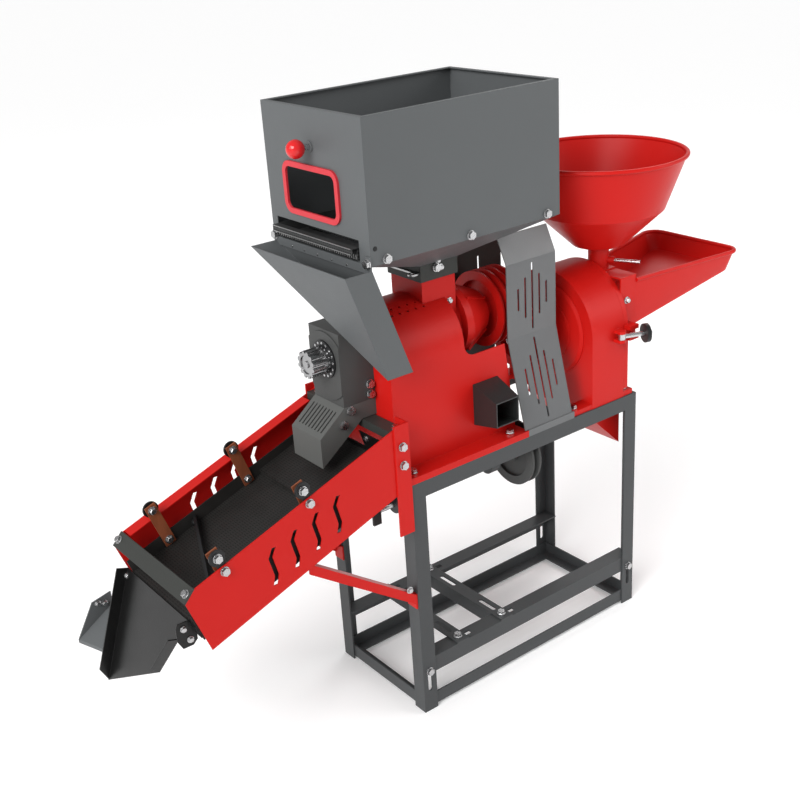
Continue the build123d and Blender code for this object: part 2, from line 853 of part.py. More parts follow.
def make_pressure_knob():
    body = rod_x(knob_radius, knob_front_x, knob_rear_x, mill_y, mill_z)
    for index in range(knob_flute_count):
        angle = 2 * math.pi * index / knob_flute_count
        y = mill_y + knob_radius * math.cos(angle)
        z = mill_z + knob_radius * math.sin(angle)
        body -= rod_x(knob_flute_radius, knob_front_x - overrun, knob_rear_x - 4 * sheet, y, z)
    body -= rod_x(knob_radius - 4 * sheet, knob_front_x - overrun, knob_front_x + sheet, mill_y, mill_z)
    body += rod_x(knob_radius / 4, knob_front_x, knob_front_x + sheet, mill_y, mill_z)
    bore_end = knob_front_x + 3 * sheet
    return body - rod_x(stem_radius + fit_gap, bore_end, knob_rear_x + overrun, mill_y, mill_z)


def make_pressure_plug():
    front = plug_rear_x - plug_thickness
    body = turned_x([(plug_rear_x, 0), (plug_rear_x, plug_radius), (front + plate, plug_radius),
                     (front, plug_radius - plate), (front, 0)], mill_y, mill_z)
    stem_end = knob_front_x + 8 * sheet
    return body + rod_x(stem_radius, stem_end, front, mill_y, mill_z)


def make_outlet_hood():
    outer = [(head_front_x, head_bottom), (hood_front_x, hood_shoulder_z),
             (hood_front_x, hood_front_bottom), (hood_rear_x, hood_rear_bottom),
             (0, hood_rear_bottom), (0, head_bottom)]
    inner = [(head_front_x + sheet, head_bottom + overrun), (head_front_x + sheet, head_bottom - sheet),
             (hood_front_x + sheet, hood_shoulder_z - sheet), (hood_front_x + sheet, hood_front_bottom - overrun),
             (hood_rear_x, hood_front_bottom - overrun), (overrun, hood_front_bottom - overrun),
             (overrun, head_bottom + overrun)]
    body = prism_xz(outer, head_near_y, head_far_y)
    body -= prism_xz(inner, head_near_y + sheet, head_far_y - sheet)
    run = head_front_x - hood_front_x
    rise = head_bottom - hood_shoulder_z
    pitch = (2 * head_half_width - 2 * louvre_margin) / (louvre_count - 1)
    for index in range(louvre_count):
        y = head_near_y + louvre_margin + pitch * index
        cut = [(hood_front_x + run / 6, hood_shoulder_z + rise / 6 - overrun),
               (hood_front_x + run / 6, hood_shoulder_z + rise / 6 + overrun),
               (head_front_x - run / 6, head_bottom - rise / 6 + overrun),
               (head_front_x - run / 6, head_bottom - rise / 6 - overrun)]
        body -= prism_xz(cut, y - louvre_width / 2, y + louvre_width / 2)
    return body


# Grain hopper

def pyramid(inset, top_z, bottom_z):
    """Taper from the hopper's rim down to the gate box, taken in by inset."""
    top = [(hopper_front_x + inset, hopper_near_y + inset), (hopper_rear_x - inset, hopper_near_y + inset),
           (hopper_rear_x - inset, hopper_far_y - inset), (hopper_front_x + inset, hopper_far_y - inset)]
    low = [(gate_box_front_x + inset, gate_box_near_y + inset), (gate_box_rear_x - inset, gate_box_near_y + inset),
           (gate_box_rear_x - inset, gate_box_far_y - inset), (gate_box_front_x + inset, gate_box_far_y - inset)]
    faces = [Face(Wire.make_polygon([(x, y, z) for x, y in ring])) for ring, z in ((top, top_z), (low, bottom_z))]
    return loft(faces)


def rounded_window(inset, x0, x1):
    face = Pos(0, (window_near_y + window_far_y) / 2, (window_bottom + window_top) / 2)
    width = window_far_y - window_near_y - 2 * inset
    height = window_top - window_bottom - 2 * inset
    sketch = Plane.YZ * RectangleRounded(width, height, window_corner - inset)
    return Pos(x0, 0, 0) * (face * extrude(sketch, x1 - x0))


def make_grain_hopper():
    body = block(hopper_front_x, hopper_rear_x, hopper_near_y, hopper_far_y, hopper_bottom, hopper_top)
    body += pyramid(0, hopper_bottom, gate_box_top)
    hollow = block(hopper_front_x + sheet, hopper_rear_x - sheet, hopper_near_y + sheet,
                   hopper_far_y - sheet, hopper_bottom, hopper_top + overrun)
    hollow += pyramid(sheet, hopper_bottom, gate_box_top - seat_gap)
    hollow += block(gate_box_front_x + sheet, gate_box_rear_x - sheet, gate_box_near_y + sheet,
                    gate_box_far_y - sheet, gate_box_top - overrun, gate_box_top)
    body -= hollow
    lip = block(hopper_front_x, hopper_rear_x, hopper_near_y, hopper_far_y, hopper_top - sheet, hopper_top)
    lip -= block(hopper_front_x + hopper_lip, hopper_rear_x - hopper_lip, hopper_near_y + hopper_lip,
                 hopper_far_y - hopper_lip, hopper_top - overrun, hopper_top + overrun)
    body += lip
    for y0, y1 in ((hopper_near_y + sheet, slot_near_y + 4 * sheet), (slot_far_y - 4 * sheet, hopper_far_y - sheet)):
        body += block(hopper_front_x + sheet, hopper_rear_x - sheet, y0, y1,
                      sieve_bottom - seat_gap - plate, sieve_bottom - seat_gap)
    body -= block(hopper_front_x - overrun, hopper_front_x + sheet, slot_near_y, slot_far_y, slot_bottom, slot_top)
    body -= rounded_window(window_bar - sheet, hopper_front_x - overrun, hopper_front_x + sheet + overrun)
    bush = rod_x(bush_radius, hopper_front_x - sheet, hopper_front_x + bush_length, rod_y, rod_z)
    body += bush
    return body - rod_x(rod_radius + fit_gap, hopper_front_x - overrun, hopper_front_x + bush_length + overrun,
                        rod_y, rod_z)


def make_window_frame():
    x0 = hopper_front_x - window_frame_thickness
    outer = rounded_window(0, x0, hopper_front_x)
    return outer - rounded_window(window_bar, x0 - overrun, hopper_front_x + overrun)


def make_hopper_sieve():
    x0 = hopper_front_x - sheet
    x1 = x0 + sieve_length
    y0 = slot_near_y + sheet
    y1 = slot_far_y - sheet
    body = block(x0, x1, y0, y1, sieve_bottom, sieve_bottom + sieve_height)
    body -= block(x0 + sheet, x1 - sheet, y0 + sheet, y1 - sheet, sieve_bottom + sheet,
                  sieve_bottom + sieve_height + overrun)
    rows = int((x1 - x0 - 2 * sieve_slot_pitch) / sieve_slot_pitch)
    for row in range(rows):
        x = x0 + sieve_slot_pitch * (row + 1)
        body -= block(x, x + sieve_slot_width, y0 + 4 * sheet, y1 - 4 * sheet,
                      sieve_bottom - overrun, sieve_bottom + overrun)
    handle = block(x0 - 5 * sheet, x0, y0, y1, sieve_bottom + sieve_height - sheet, sieve_bottom + sieve_height)
    bar = block(x0 - 5 * sheet, x0 - 4 * sheet, y0, y1, sieve_bottom + sieve_height / 2, sieve_bottom + sieve_height)
    return body + handle + bar


def make_shutter_rod():
    rear = rod_front_x + rod_length
    body = rod_x(rod_radius, rod_front_x, rear, rod_y, rod_z)
    half = shutter_width / 2
    top = rod_z + rod_radius + sheet
    return body + block(rear - plate, rear, rod_y - half, rod_y + half, top - shutter_height, top)


def make_ball_knob():
    """Ball with a blind bore that fits over the rod's end."""
    bore = rod_radius + fit_gap
    mouth = math.sqrt(ball_radius ** 2 - bore ** 2)
    depth = rod_front_x - ball_x
    arc = ThreePointArc((-ball_radius, 0, 0), (0, 0, ball_radius), (mouth, 0, bore))
    inside = Polyline((mouth, 0, bore), (depth, 0, bore), (depth, 0, 0), (-ball_radius, 0, 0))
    face = Face(Wire([arc] + list(inside.edges())))
    return Pos(ball_x, rod_y, rod_z) * revolve(face, axis=Axis.X)


def make_debris_chute():
    slope = chute_lean / (chute_top - chute_bottom)
    fall = (chute_top - chute_bottom) / (chute_far_y - chute_near_y)
    width = hopper_front_x - chute_front_x

    def leaning(points, shift):
        corners = [(chute_front_x + shift + (chute_top - z) * slope, y, z) for y, z in points]
        return Face(Wire.make_polygon(corners))

    outer = leaning([(chute_near_y, chute_top), (chute_far_y, chute_top), (chute_near_y, chute_bottom)], 0)
    body = extrude(outer, amount=width, dir=(1, 0, 0))
    lift = sheet * math.hypot(1, fall)
    high = chute_top + overrun
    reach = chute_far_y + overrun / fall - lift / fall
    near = chute_near_y + sheet
    inner = leaning([(near, high), (reach, high), (near, chute_bottom + lift + sheet * fall)], sheet)
    body -= extrude(inner, amount=width - 2 * sheet, dir=(1, 0, 0))
    exit_z = chute_bottom + (chute_outlet_width + sheet) * fall + lift + overrun
    way_out = leaning([(near, exit_z), (near + chute_outlet_width, exit_z),
                       (near + chute_outlet_width, chute_bottom - overrun), (near, chute_bottom - overrun)], sheet)
    body -= extrude(way_out, amount=width - 2 * sheet, dir=(1, 0, 0))
    for y in (chute_near_y, chute_ear_far_y - chute_ear_width):
        body += block(hopper_front_x - sheet, hopper_front_x, y, y + chute_ear_width,
                      chute_top - 3 * sheet, chute_top + chute_ear_height)
    return body + block(hopper_front_x - sheet, hopper_front_x, chute_near_y, chute_ear_far_y,
                        chute_top - 3 * sheet, slot_bottom)


# Belt guard

def make_belt_guard():
    edge = [(guard_foot_y, guard_foot_z), (guard_face_y, guard_lower_bend),
            (guard_face_y, guard_upper_bend), (guard_top_y, guard_top_z)]
    outline = edge + [(y + sheet, z) for y, z in reversed(edge)]
    body = prism_yz(outline, guard_front_x, guard_rear_x)
    upper = (guard_lower_bend + guard_upper_bend) / 2
    lower = (guard_foot_z + guard_lower_bend) / 2
    for index, share in enumerate(guard_slot_shares):
        x = guard_slot_first_x + guard_slot_pitch * index
        for middle, reach in ((upper, guard_upper_bend - guard_lower_bend), (lower, guard_lower_bend - guard_foot_z)):
            half = share * reach / 2
            body -= slot_xz(x, middle - half, middle + half, guard_slot_width, -overrun, guard_top_y)
    foot_front = cover_foot_length + seat_gap
    foot_rear = crusher_base_front_x - seat_gap
    foot = block(foot_front, foot_rear, 0, guard_foot_depth, table_height, table_height + plate)
    foot += block(foot_front, foot_rear, 0, guard_foot_y + sheet, table_height, guard_foot_z)
    return body + foot


# Crusher

def make_crusher_casing():
    body = arch(crusher_radius, crusher_front_x, crusher_rear_x, crusher_y, crusher_z, table_height)
    base = block(crusher_base_front_x, crusher_base_rear_x, angle_wall, stand_width - angle_wall,
                 table_height, table_height + crusher_base_thickness)
    base_inner = leg_width + angle_wall
    base -= block(crusher_base_front_x - overrun, crusher_front_x, base_inner, stand_width - base_inner,
                  table_height - overrun, table_height + crusher_base_thickness + overrun)
    base -= block(crusher_rear_x, crusher_base_rear_x + overrun, base_inner, stand_width - base_inner,
                  table_height - overrun, table_height + crusher_base_thickness + overrun)
    body += base
    body -= arch(crusher_radius - crusher_wall, crusher_front_x + crusher_wall, crusher_rear_x + overrun,
                 crusher_y, crusher_z, table_height + 2 * crusher_base_thickness)
    body -= block(outlet_front_x + sheet, outlet_rear_x - sheet, outlet_near_y + sheet,
                  outlet_far_y - sheet, table_height - overrun, table_height + 3 * crusher_base_thickness)
    body -= rod_x(shaft_radius + sheet, crusher_front_x - overrun, crusher_front_x + crusher_wall + overrun,
                  crusher_y, crusher_z)
    body += casing_lugs()
    return body


def casing_lugs():
    """Two hinge knuckles with their pin on the far side, two latch ears on the near side."""
    third = hinge_height / 3
    lugs = rod(hinge_pin_radius, (hinge_x, hinge_y, hinge_bottom), (hinge_x, hinge_y, hinge_bottom + hinge_height))
    for z in (hinge_bottom, hinge_bottom + 2 * third):
        lugs += rod(hinge_knuckle_radius, (hinge_x, hinge_y, z), (hinge_x, hinge_y, z + third))
        web = [(crusher_rear_x - 4 * crusher_wall, crusher_y + crusher_radius - crusher_wall),
               (crusher_rear_x - sheet, crusher_y + crusher_radius - crusher_wall),
               (crusher_rear_x - sheet, hinge_y - hinge_knuckle_radius / 2),
               (hinge_x, hinge_y), (hinge_x, hinge_y + hinge_knuckle_radius),
               (crusher_rear_x - 4 * crusher_wall, crusher_y + crusher_radius)]
        face = Face(Wire.make_polygon([(x, y, z) for x, y in web]))
        lugs += extrude(face, amount=third, dir=(0, 0, 1))
    half = latch_eye_height / 2 + seat_gap
    for z in (latch_z - half - latch_ear_thickness, latch_z + half):
        lugs += rod(latch_ear_radius, (latch_x, latch_y, z), (latch_x, latch_y, z + latch_ear_thickness))
        lugs += block(latch_x - latch_ear_radius, latch_x + latch_ear_radius, latch_y,
                      crusher_y - crusher_radius + crusher_wall / 2, z, z + latch_ear_thickness)
    return lugs + rod(latch_pin_radius, (latch_x, latch_y, latch_z - half), (latch_x, latch_y, latch_z + half))


def make_crusher_housing():
    inner = [(housing_front_x, shaft_radius + sheet), (housing_front_x, housing_radius)]
    disc_x = housing_disc_x
    profile = inner + [
        (disc_x - 2 * sheet, housing_radius), (disc_x, housing_step_radius),
        (disc_x + sheet, housing_step_radius), (disc_x + 2 * sheet, housing_disc_radius - 3 * sheet),
        (crusher_front_x - sheet, housing_disc_radius), (crusher_front_x, housing_disc_radius),
        (crusher_front_x, bearing_radius), (crusher_front_x - bearing_width, bearing_radius),
        (crusher_front_x - bearing_width, shaft_radius + 3 * sheet),
        (housing_front_x + 2 * sheet + bearing_width, shaft_radius + 3 * sheet),
        (housing_front_x + 2 * sheet + bearing_width, bearing_radius),
        (housing_front_x + 2 * sheet, bearing_radius), (housing_front_x + 2 * sheet, shaft_radius + sheet)]
    return turned_x(profile, crusher_y, crusher_z)


def make_crusher_shaft():
    return rod_x(shaft_radius, crusher_shaft_front_x, crusher_shaft_rear_x, crusher_y, crusher_z)


def make_crusher_pulley():
    return pulley(crusher_pulley_radius, crusher_pulley_front_x, crusher_pulley_width, 2,
                  shaft_radius, crusher_y, crusher_z)


def claws(radius, size, turns, x0, x1):
    """Square claws that stand along X, at these turns about the shaft."""
    ring = None
    for turn in turns:
        claw = Rot(turn, 0, 0) * block(x0, x1, -size / 2, size / 2, radius - size / 2, radius + size / 2)
        ring = claw if ring is None else ring + claw
    return Pos(0, crusher_y, crusher_z) * ring


def make_crusher_rotor():
    rear = rotor_disc_x + rotor_disc_thickness
    body = rod_x(rotor_disc_radius, rotor_disc_x, rear, crusher_y, crusher_z)
    body += rod_x(2 * shaft_radius, rotor_disc_x - rotor_disc_thickness, rear + rotor_disc_thickness, crusher_y, crusher_z)
    body += claws(claw_radius, claw_size, rotor_claw_turns, rear, rear + claw_length)
    return body - rod_x(shaft_radius, rotor_disc_x - 2 * rotor_disc_thickness,
                        rear + 2 * rotor_disc_thickness, crusher_y, crusher_z)


def make_crusher_screen():
    x0 = crusher_front_x + crusher_wall
    x1 = crusher_rear_x - sheet
    body = tube_x(ring_screen_radius, ring_screen_radius - sheet, x0, x1, crusher_y, crusher_z)
    for index in range(7):
        turn = 225 + 15 * index
        cut = block(x0 + 3 * sheet, x1 - 3 * sheet, ring_screen_radius - 3 * sheet,
                    ring_screen_radius + overrun, -plate, plate)
        body -= Pos(0, crusher_y, crusher_z) * Rot(turn, 0, 0) * cut
    return body


door_x = crusher_rear_x + seat_gap


def make_crusher_door():
    base = table_height + crusher_base_thickness + washer_height + bolt_head_height + seat_gap
    body = arch(crusher_radius, door_x, door_x + door_thickness, crusher_y, crusher_z, base)
    body += tube_x(door_rib_radius + door_rib_thickness, door_rib_radius, door_x + door_thickness,
                   door_x + door_thickness + door_rib_thickness, crusher_y, crusher_z)
    body -= block(door_x + door_thickness, throat_rear_x, throat_near_y, throat_far_y,
                  throat_bottom, throat_top)
    feed = block(door_x - overrun, door_x + door_thickness + overrun, throat_near_y + 6 * sheet,
                 throat_far_y - 6 * sheet, throat_bottom + 4 * sheet, throat_bottom + 25 * sheet)
    body -= feed
    body += claws(door_claw_radius, claw_size, door_claw_turns, door_x - door_claw_length, door_x)
    third = hinge_height / 3
    z0 = hinge_bottom + third + seat_gap
    z1 = hinge_bottom + 2 * third - seat_gap
    knuckle = rod(hinge_knuckle_radius, (hinge_x, hinge_y, z0), (hinge_x, hinge_y, z1))
    knuckle += block(door_x + sheet, door_x + door_thickness, crusher_y + crusher_radius - crusher_wall, hinge_y, z0, z1)
    knuckle -= rod(hinge_pin_radius + fit_gap, (hinge_x, hinge_y, z0 - overrun), (hinge_x, hinge_y, z1 + overrun))
    body += knuckle
    tip_y = latch_y - fork_tip
    lug = block(door_x, door_x + fork_length, tip_y, crusher_y - crusher_radius + door_thickness,
                latch_z - fork_height / 2, latch_z + fork_height / 2)
    lug -= block(door_x - overrun, door_x + fork_length + overrun, tip_y - overrun,
                 latch_y + fork_slot / 2, latch_z - fork_slot / 2, latch_z + fork_slot / 2)
    return body + lug


def make_crusher_outlet():
    """Sloping chute under the table that lets the crushed grain out at the rear."""
    floor_z = table_height - outlet_drop
    outer = [(outlet_front_x, table_height), (outlet_front_x, floor_z), (outlet_lip_x, outlet_lip_z),
             (outlet_lip_x, outlet_lip_z + outlet_mouth), (outlet_rear_x, table_height)]
    inner = [(outlet_front_x + sheet, table_height + overrun), (outlet_front_x + sheet, floor_z + sheet / 2),
             (outlet_lip_x + overrun, outlet_lip_z - overrun + 2 * sheet),
             (outlet_lip_x + overrun, outlet_lip_z + outlet_mouth - sheet),
             (outlet_lip_x - sheet, outlet_lip_z + outlet_mouth - sheet),
             (outlet_rear_x - sheet, table_height), (outlet_rear_x - sheet, table_height + overrun)]
    body = prism_xz(outer, outlet_near_y, outlet_far_y)
    return body - prism_xz(inner, outlet_near_y + sheet, outlet_far_y - sheet)


# Throat, tray and funnel

throat_front_x = door_x + door_thickness


def make_feed_throat():
    body = block(throat_front_x, throat_rear_x, throat_near_y, throat_far_y, throat_bottom, throat_top)
    body -= block(throat_front_x - overrun, throat_rear_x + overrun, throat_near_y + plate,
                  throat_far_y - plate, throat_bottom + plate, throat_top - plate)
    return body - rod(funnel_neck_radius - sheet, (funnel_x, funnel_y, throat_top - 2 * plate),
                      (funnel_x, funnel_y, throat_top + overrun))


def tray_section(inset, x, near, far, bottom, top, side_inset):
    corners = [(x, near + side_inset + inset, bottom + inset), (x, far - side_inset - inset, bottom + inset),
               (x, far - inset, top), (x, near + inset, top)]
    return Face(Wire.make_polygon(corners))


def make_feed_tray():
    front = (throat_rear_x, throat_near_y, throat_far_y, throat_bottom, tray_rim_z, 0)
    rear = (tray_rear_x, tray_near_y, tray_far_y, tray_rear_bottom, tray_rim_z, tray_inset)

    def hollow(x, near, far, bottom, top, side_inset):
        return tray_section(sheet, x, near, far, bottom, top, side_inset)

    body = loft([tray_section(0, *front), tray_section(0, *rear)])
    inner_rear = (tray_rear_x - sheet,) + rear[1:]
    body -= loft([hollow(*front), hollow(*inner_rear)])
    lift = block(throat_rear_x - overrun, tray_rear_x + overrun, tray_near_y - overrun, tray_far_y + overrun,
                 tray_rim_z - sheet / 4, tray_rim_z + overrun)
    body -= lift
    corners = [(throat_rear_x, throat_near_y), (tray_rear_x, tray_near_y), (tray_rear_x, tray_far_y),
               (throat_rear_x, throat_far_y)]
    for (xa, ya), (xb, yb) in zip(corners, corners[1:]):
        body += rod(rim_radius, (xa, ya, tray_rim_z), (xb, yb, tray_rim_z))
    for x, y in corners[1:3]:
        body += Pos(x, y, tray_rim_z) * Sphere(rim_radius)
    return body - block(throat_rear_x - 2 * overrun, throat_rear_x, tray_near_y, tray_far_y,
                        throat_bottom - overrun, tray_rim_z + overrun)


def make_funnel_hopper():
    neck_low = throat_top
    outer = [(funnel_neck_radius, neck_low), (funnel_neck_radius, funnel_throat_z - 2 * sheet),
             (funnel_throat_radius, funnel_throat_z), (funnel_waist_radius, funnel_waist_z),
             (funnel_rim_radius, funnel_rim_z)]
    inner = [(r - sheet, z) for r, z in reversed(outer)]
    face = Face(Wire.make_polygon([(r, 0, z) for r, z in outer + inner]))
    body = revolve(face, axis=Axis.Z)
    rim = Pos(0, 0, funnel_rim_z) * Torus(funnel_rim_radius, rim_radius)
    body = Pos(funnel_x, funnel_y, 0) * (body + rim)
    flange_half = funnel_neck_radius + 3 * sheet
    flange = block(throat_front_x + seat_gap, throat_rear_x, funnel_y - flange_half, funnel_y + flange_half,
                   neck_low, neck_low + plate)
    body += flange - rod(funnel_neck_radius - sheet, (funnel_x, funnel_y, neck_low - overrun),
                         (funnel_x, funnel_y, neck_low + overrun))
    start, end = lock_screw_line(funnel_neck_radius - sheet / 2, funnel_neck_radius + lock_boss_length)
    boss = rod(lock_boss_radius, start, end)
    start, end = lock_screw_line(funnel_neck_radius - 2 * sheet, funnel_neck_radius + lock_screw_length)
    return body + boss - rod(lock_screw_radius + fit_gap, start, end)


def lock_screw_line(inner, outer):
    """Two points on the lock screw's line, by their distance from the funnel's axis."""
    turn = math.radians(lock_screw_turn)
    x = math.sin(turn)
    y = -math.cos(turn)
    return ((funnel_x + inner * x, funnel_y + inner * y, lock_screw_z),
            (funnel_x + outer * x, funnel_y + outer * y, lock_screw_z))


def make_lock_screw():
    start, end = lock_screw_line(funnel_neck_radius - sheet, funnel_neck_radius + lock_screw_length)
    return rod(lock_screw_radius, start, end)


# Door latch

def latch_turned(shape):
    """Turns a piece about the latch pin, from hooked in the fork to its place at rest."""
    pin = Pos(latch_x, latch_y, 0)
    return pin * Rot(0, 0, -latch_rest_turn) * pin.inverse() * shape


def make_swing_bolt():
    half = latch_eye_height / 2
    body = rod(latch_ear_radius - sheet / 2, (latch_x, latch_y, latch_z - half), (latch_x, latch_y, latch_z + half))
    body += rod_x(latch_rod_radius, latch_x, latch_x + latch_rod_length, latch_y, latch_z)
    body -= rod(latch_pin_radius + fit_gap, (latch_x, latch_y, latch_z - 2 * half),
                (latch_x, latch_y, latch_z + 2 * half))
    return latch_turned(body)


nut_front_x = door_x + fork_length + 2 * seat_gap


def make_hand_nut():
    rear = nut_front_x + nut_length
    body = rod_x(nut_radius, nut_front_x, rear, latch_y, latch_z)
    body -= tube_x(nut_radius - nut_rim, nut_hub_radius, rear - nut_recess, rear + overrun, latch_y, latch_z)
    body -= rod_x(latch_rod_radius + fit_gap, nut_front_x - overrun, rear + overrun, latch_y, latch_z)
    return latch_turned(body)


# Sloping trough

slope_x = math.cos(math.radians(trough_angle))
slope_z = math.sin(math.radians(trough_angle))
trough_frame = Plane(origin=(0, 0, trough_zero_z), x_dir=(slope_x, 0, slope_z), z_dir=(-slope_z, 0, slope_x))


def trough_point(u, y, w):
    """Place in the machine's directions of a point in the trough's own."""
    return (u * slope_x - w * slope_z, y, trough_zero_z + u * slope_z + w * slope_x)


def trough_uw(u, w):
    x, _, z = trough_point(u, 0, w)
    return (x, z)


def panel_outline(drop):
    """Side panel's outline, with the front corner cut and an upright rear edge."""
    rear_x = -angle_wall - seat_gap
    height = panel_height - drop
    points = [trough_uw(panel_front_u, 0), trough_uw(panel_front_u, height - panel_chamfer_w),
              trough_uw(panel_front_u + panel_chamfer_u, height)]
    rise = slope_z / slope_x
    points.append((rear_x, trough_zero_z + height / slope_x + rear_x * rise))
    points.append((rear_x, trough_zero_z + rear_x * rise))
    return points


def wave_slot(u, y0, y1):
    """Upright zigzag slot of three straight runs."""
    x, _, z = trough_point(u, 0, wave_slot_bottom)
    half = wave_slot_width / 2
    height = wave_slot_height / slope_x
    middle = [(x, z), (x + half, z + 0.25 * height), (x - half, z + 0.75 * height), (x + half, z + height)]
    outline = [(a - half, b) for a, b in middle] + [(a + half, b) for a, b in reversed(middle)]
    return prism_xz(outline, y0, y1)


def make_trough_panel(y0, drop, flange):
    body = prism_xz(panel_outline(drop), y0, y0 + sheet)
    if flange:
        top = panel_height - drop
        strip = block(panel_front_u + panel_chamfer_u + plate, -2 * plate, y0 + sheet - flange, y0 + sheet,
                      top - sheet, top)
        body += trough_frame * strip
    for index in range(wave_slot_count):
        u = wave_slot_first_u + wave_slot_pitch * index
        body -= wave_slot(u, y0 - overrun, y0 + sheet + overrun)
    return body


def make_trough_brackets():
    near = block(-leg_width, 0, -angle_wall, 0, bracket_bottom, bracket_top)
    near += block(-angle_wall, 0, -angle_wall, leg_width, bracket_bottom, bracket_top)
    far = block(-leg_width, 0, stand_width, stand_width + angle_wall, bracket_bottom, bracket_top)
    far += block(-angle_wall, 0, stand_width - leg_width, stand_width + angle_wall, bracket_bottom, bracket_top)
    return group([near, far])


def make_trough_bars():
    """Flat bar across the front corner cuts and an angle across the rear."""
    cut_length = math.hypot(panel_chamfer_u, panel_chamfer_w)
    along = (panel_chamfer_u / cut_length, panel_chamfer_w / cut_length)
    ends = []
    for y, drop in ((0, -seat_gap / 3), (stand_width, panel_far_drop)):
        low = (panel_front_u, panel_height - panel_chamfer_w - drop)
        high = (low[0] + panel_chamfer_u, low[1] + panel_chamfer_w)
        ring = [low, high] + [(u - plate * along[1], w + plate * along[0]) for u, w in (high, low)]
        ends.append(Face(Wire.make_polygon([trough_point(u, y, w) for u, w in ring])))
    front = loft(ends)
    rear = block(-cross_bar_width - angle_wall, -angle_wall, sheet, stand_width - sheet,
                 cross_bar_z - plate, cross_bar_z)
    rear += block(-cross_bar_width - angle_wall, -cross_bar_width, sheet, stand_width - sheet,
                  cross_bar_z - 5 * plate, cross_bar_z)
    return group([front, rear])


def make_trough_strut():
    """Two angle irons, each from a front leg up to the lower edge of the panel above it."""
    x0 = -angle_wall
    top_low = strut_low_z + strut_width
    top_high = strut_high_z + strut_width / 4
    flat = [(x0, strut_low_z), (x0, top_low), (strut_high_x, top_high), (strut_high_x, top_high - strut_width)]
    ledge = [(x0, top_low - angle_wall), (x0, top_low), (strut_high_x, top_high), (strut_high_x, top_high - angle_wall)]
    body = prism_xz(flat, sheet, sheet + angle_wall) + prism_xz(ledge, sheet, sheet + strut_width)
    near = body + block(x0, 0, sheet, leg_width - sheet, strut_low_z - strut_width / 2, top_low)
    return group([near, near.mirror(Plane.XZ.offset(-stand_width / 2))])


def spring_us():
    return (spring_front_u, spring_rear_u)


near_leaf_y = 2 * sheet + tray_wall_gap + 2 * seat_gap
far_leaf_y = tray_far_wall - sheet - 2 * seat_gap - spring_thickness
near_pivot_w = spring_pivot_w
far_pivot_w = spring_pivot_w - spring_far_drop


def make_spring_discs():
    """Round plates above the panels' upper edges that carry the leaf springs."""
    pieces = []
    for u in spring_us():
        near = rod(disc_radius, (u, sheet, near_pivot_w), (u, sheet + plate, near_pivot_w))
        near += block(u - disc_radius / 2, u + disc_radius / 2, sheet, sheet + plate,
                      panel_height - 2 * disc_radius, near_pivot_w)
        near += rod(disc_spacer_radius, (u, sheet + plate, near_pivot_w), (u, near_leaf_y - seat_gap, near_pivot_w))
        plate_y = stand_width - far_flange_width - plate - seat_gap
        foot_w = panel_height - panel_far_drop
        far = rod(disc_radius, (u, plate_y, far_pivot_w), (u, plate_y + plate, far_pivot_w))
        far += block(u - disc_radius / 2, u + disc_radius / 2, plate_y, plate_y + plate, foot_w, far_pivot_w)
        far += block(u - disc_radius / 2, u + disc_radius / 2, plate_y, stand_width - 2 * sheet, foot_w, foot_w + plate)
        far += rod(disc_spacer_radius, (u, far_leaf_y + spring_thickness + seat_gap, far_pivot_w),
                   (u, plate_y, far_pivot_w))
        pieces += [trough_frame * near, trough_frame * far]
    return group(pieces)


def make_leaf_springs(y0, pivot_w):
    top = pivot_w + (spring_length - spring_pitch) / 2
    leaves = []
    for u in spring_us():
        leaf = block(u - spring_width / 2, u + spring_width / 2, y0, y0 + spring_thickness, top - spring_length, top)
        leaves.append(trough_frame * leaf)
    return group(leaves)


tray_near_wall = sheet + tray_wall_gap


def make_screen_tray():
    y0 = tray_near_wall
    y1 = tray_far_wall
    body = block(tray_front_u, tray_rear_u, y0, y0 + sheet, tray_wall_bottom, tray_wall_top)
    body += block(tray_front_u, tray_rear_u, y1 - sheet, y1, tray_wall_bottom, tray_wall_top)
    body += block(tray_front_u, tray_step_u, y0, y1, screen_w - sheet, screen_w)
    body += block(tray_step_u - sheet, tray_rear_u, y0, y1, upper_deck_w - sheet, upper_deck_w)
    body += block(tray_step_u - sheet, tray_step_u, y0, y1, tray_wall_bottom, upper_deck_w)
    body += block(tray_front_u, tray_step_u, y0, y1, pan_w - sheet, pan_w)
    slots = None
    rows = 7
    columns = 4
    pitch_u = (tray_step_u - tray_front_u) / (rows + 1)
    pitch_y = (y1 - y0) / (columns + 1)
    for row in range(rows):
        for column in range(columns):
            u = tray_front_u + pitch_u * (row + 1)
            y = y0 + pitch_y * (column + 1)
            cut = block(u - sheet, u + sheet, y - pitch_y / 3, y + pitch_y / 3, screen_w - sheet - overrun, screen_w + overrun)
            slots = cut if slots is None else slots + cut
    body -= slots
    body = trough_frame * body
    return body + make_shaker_fork()


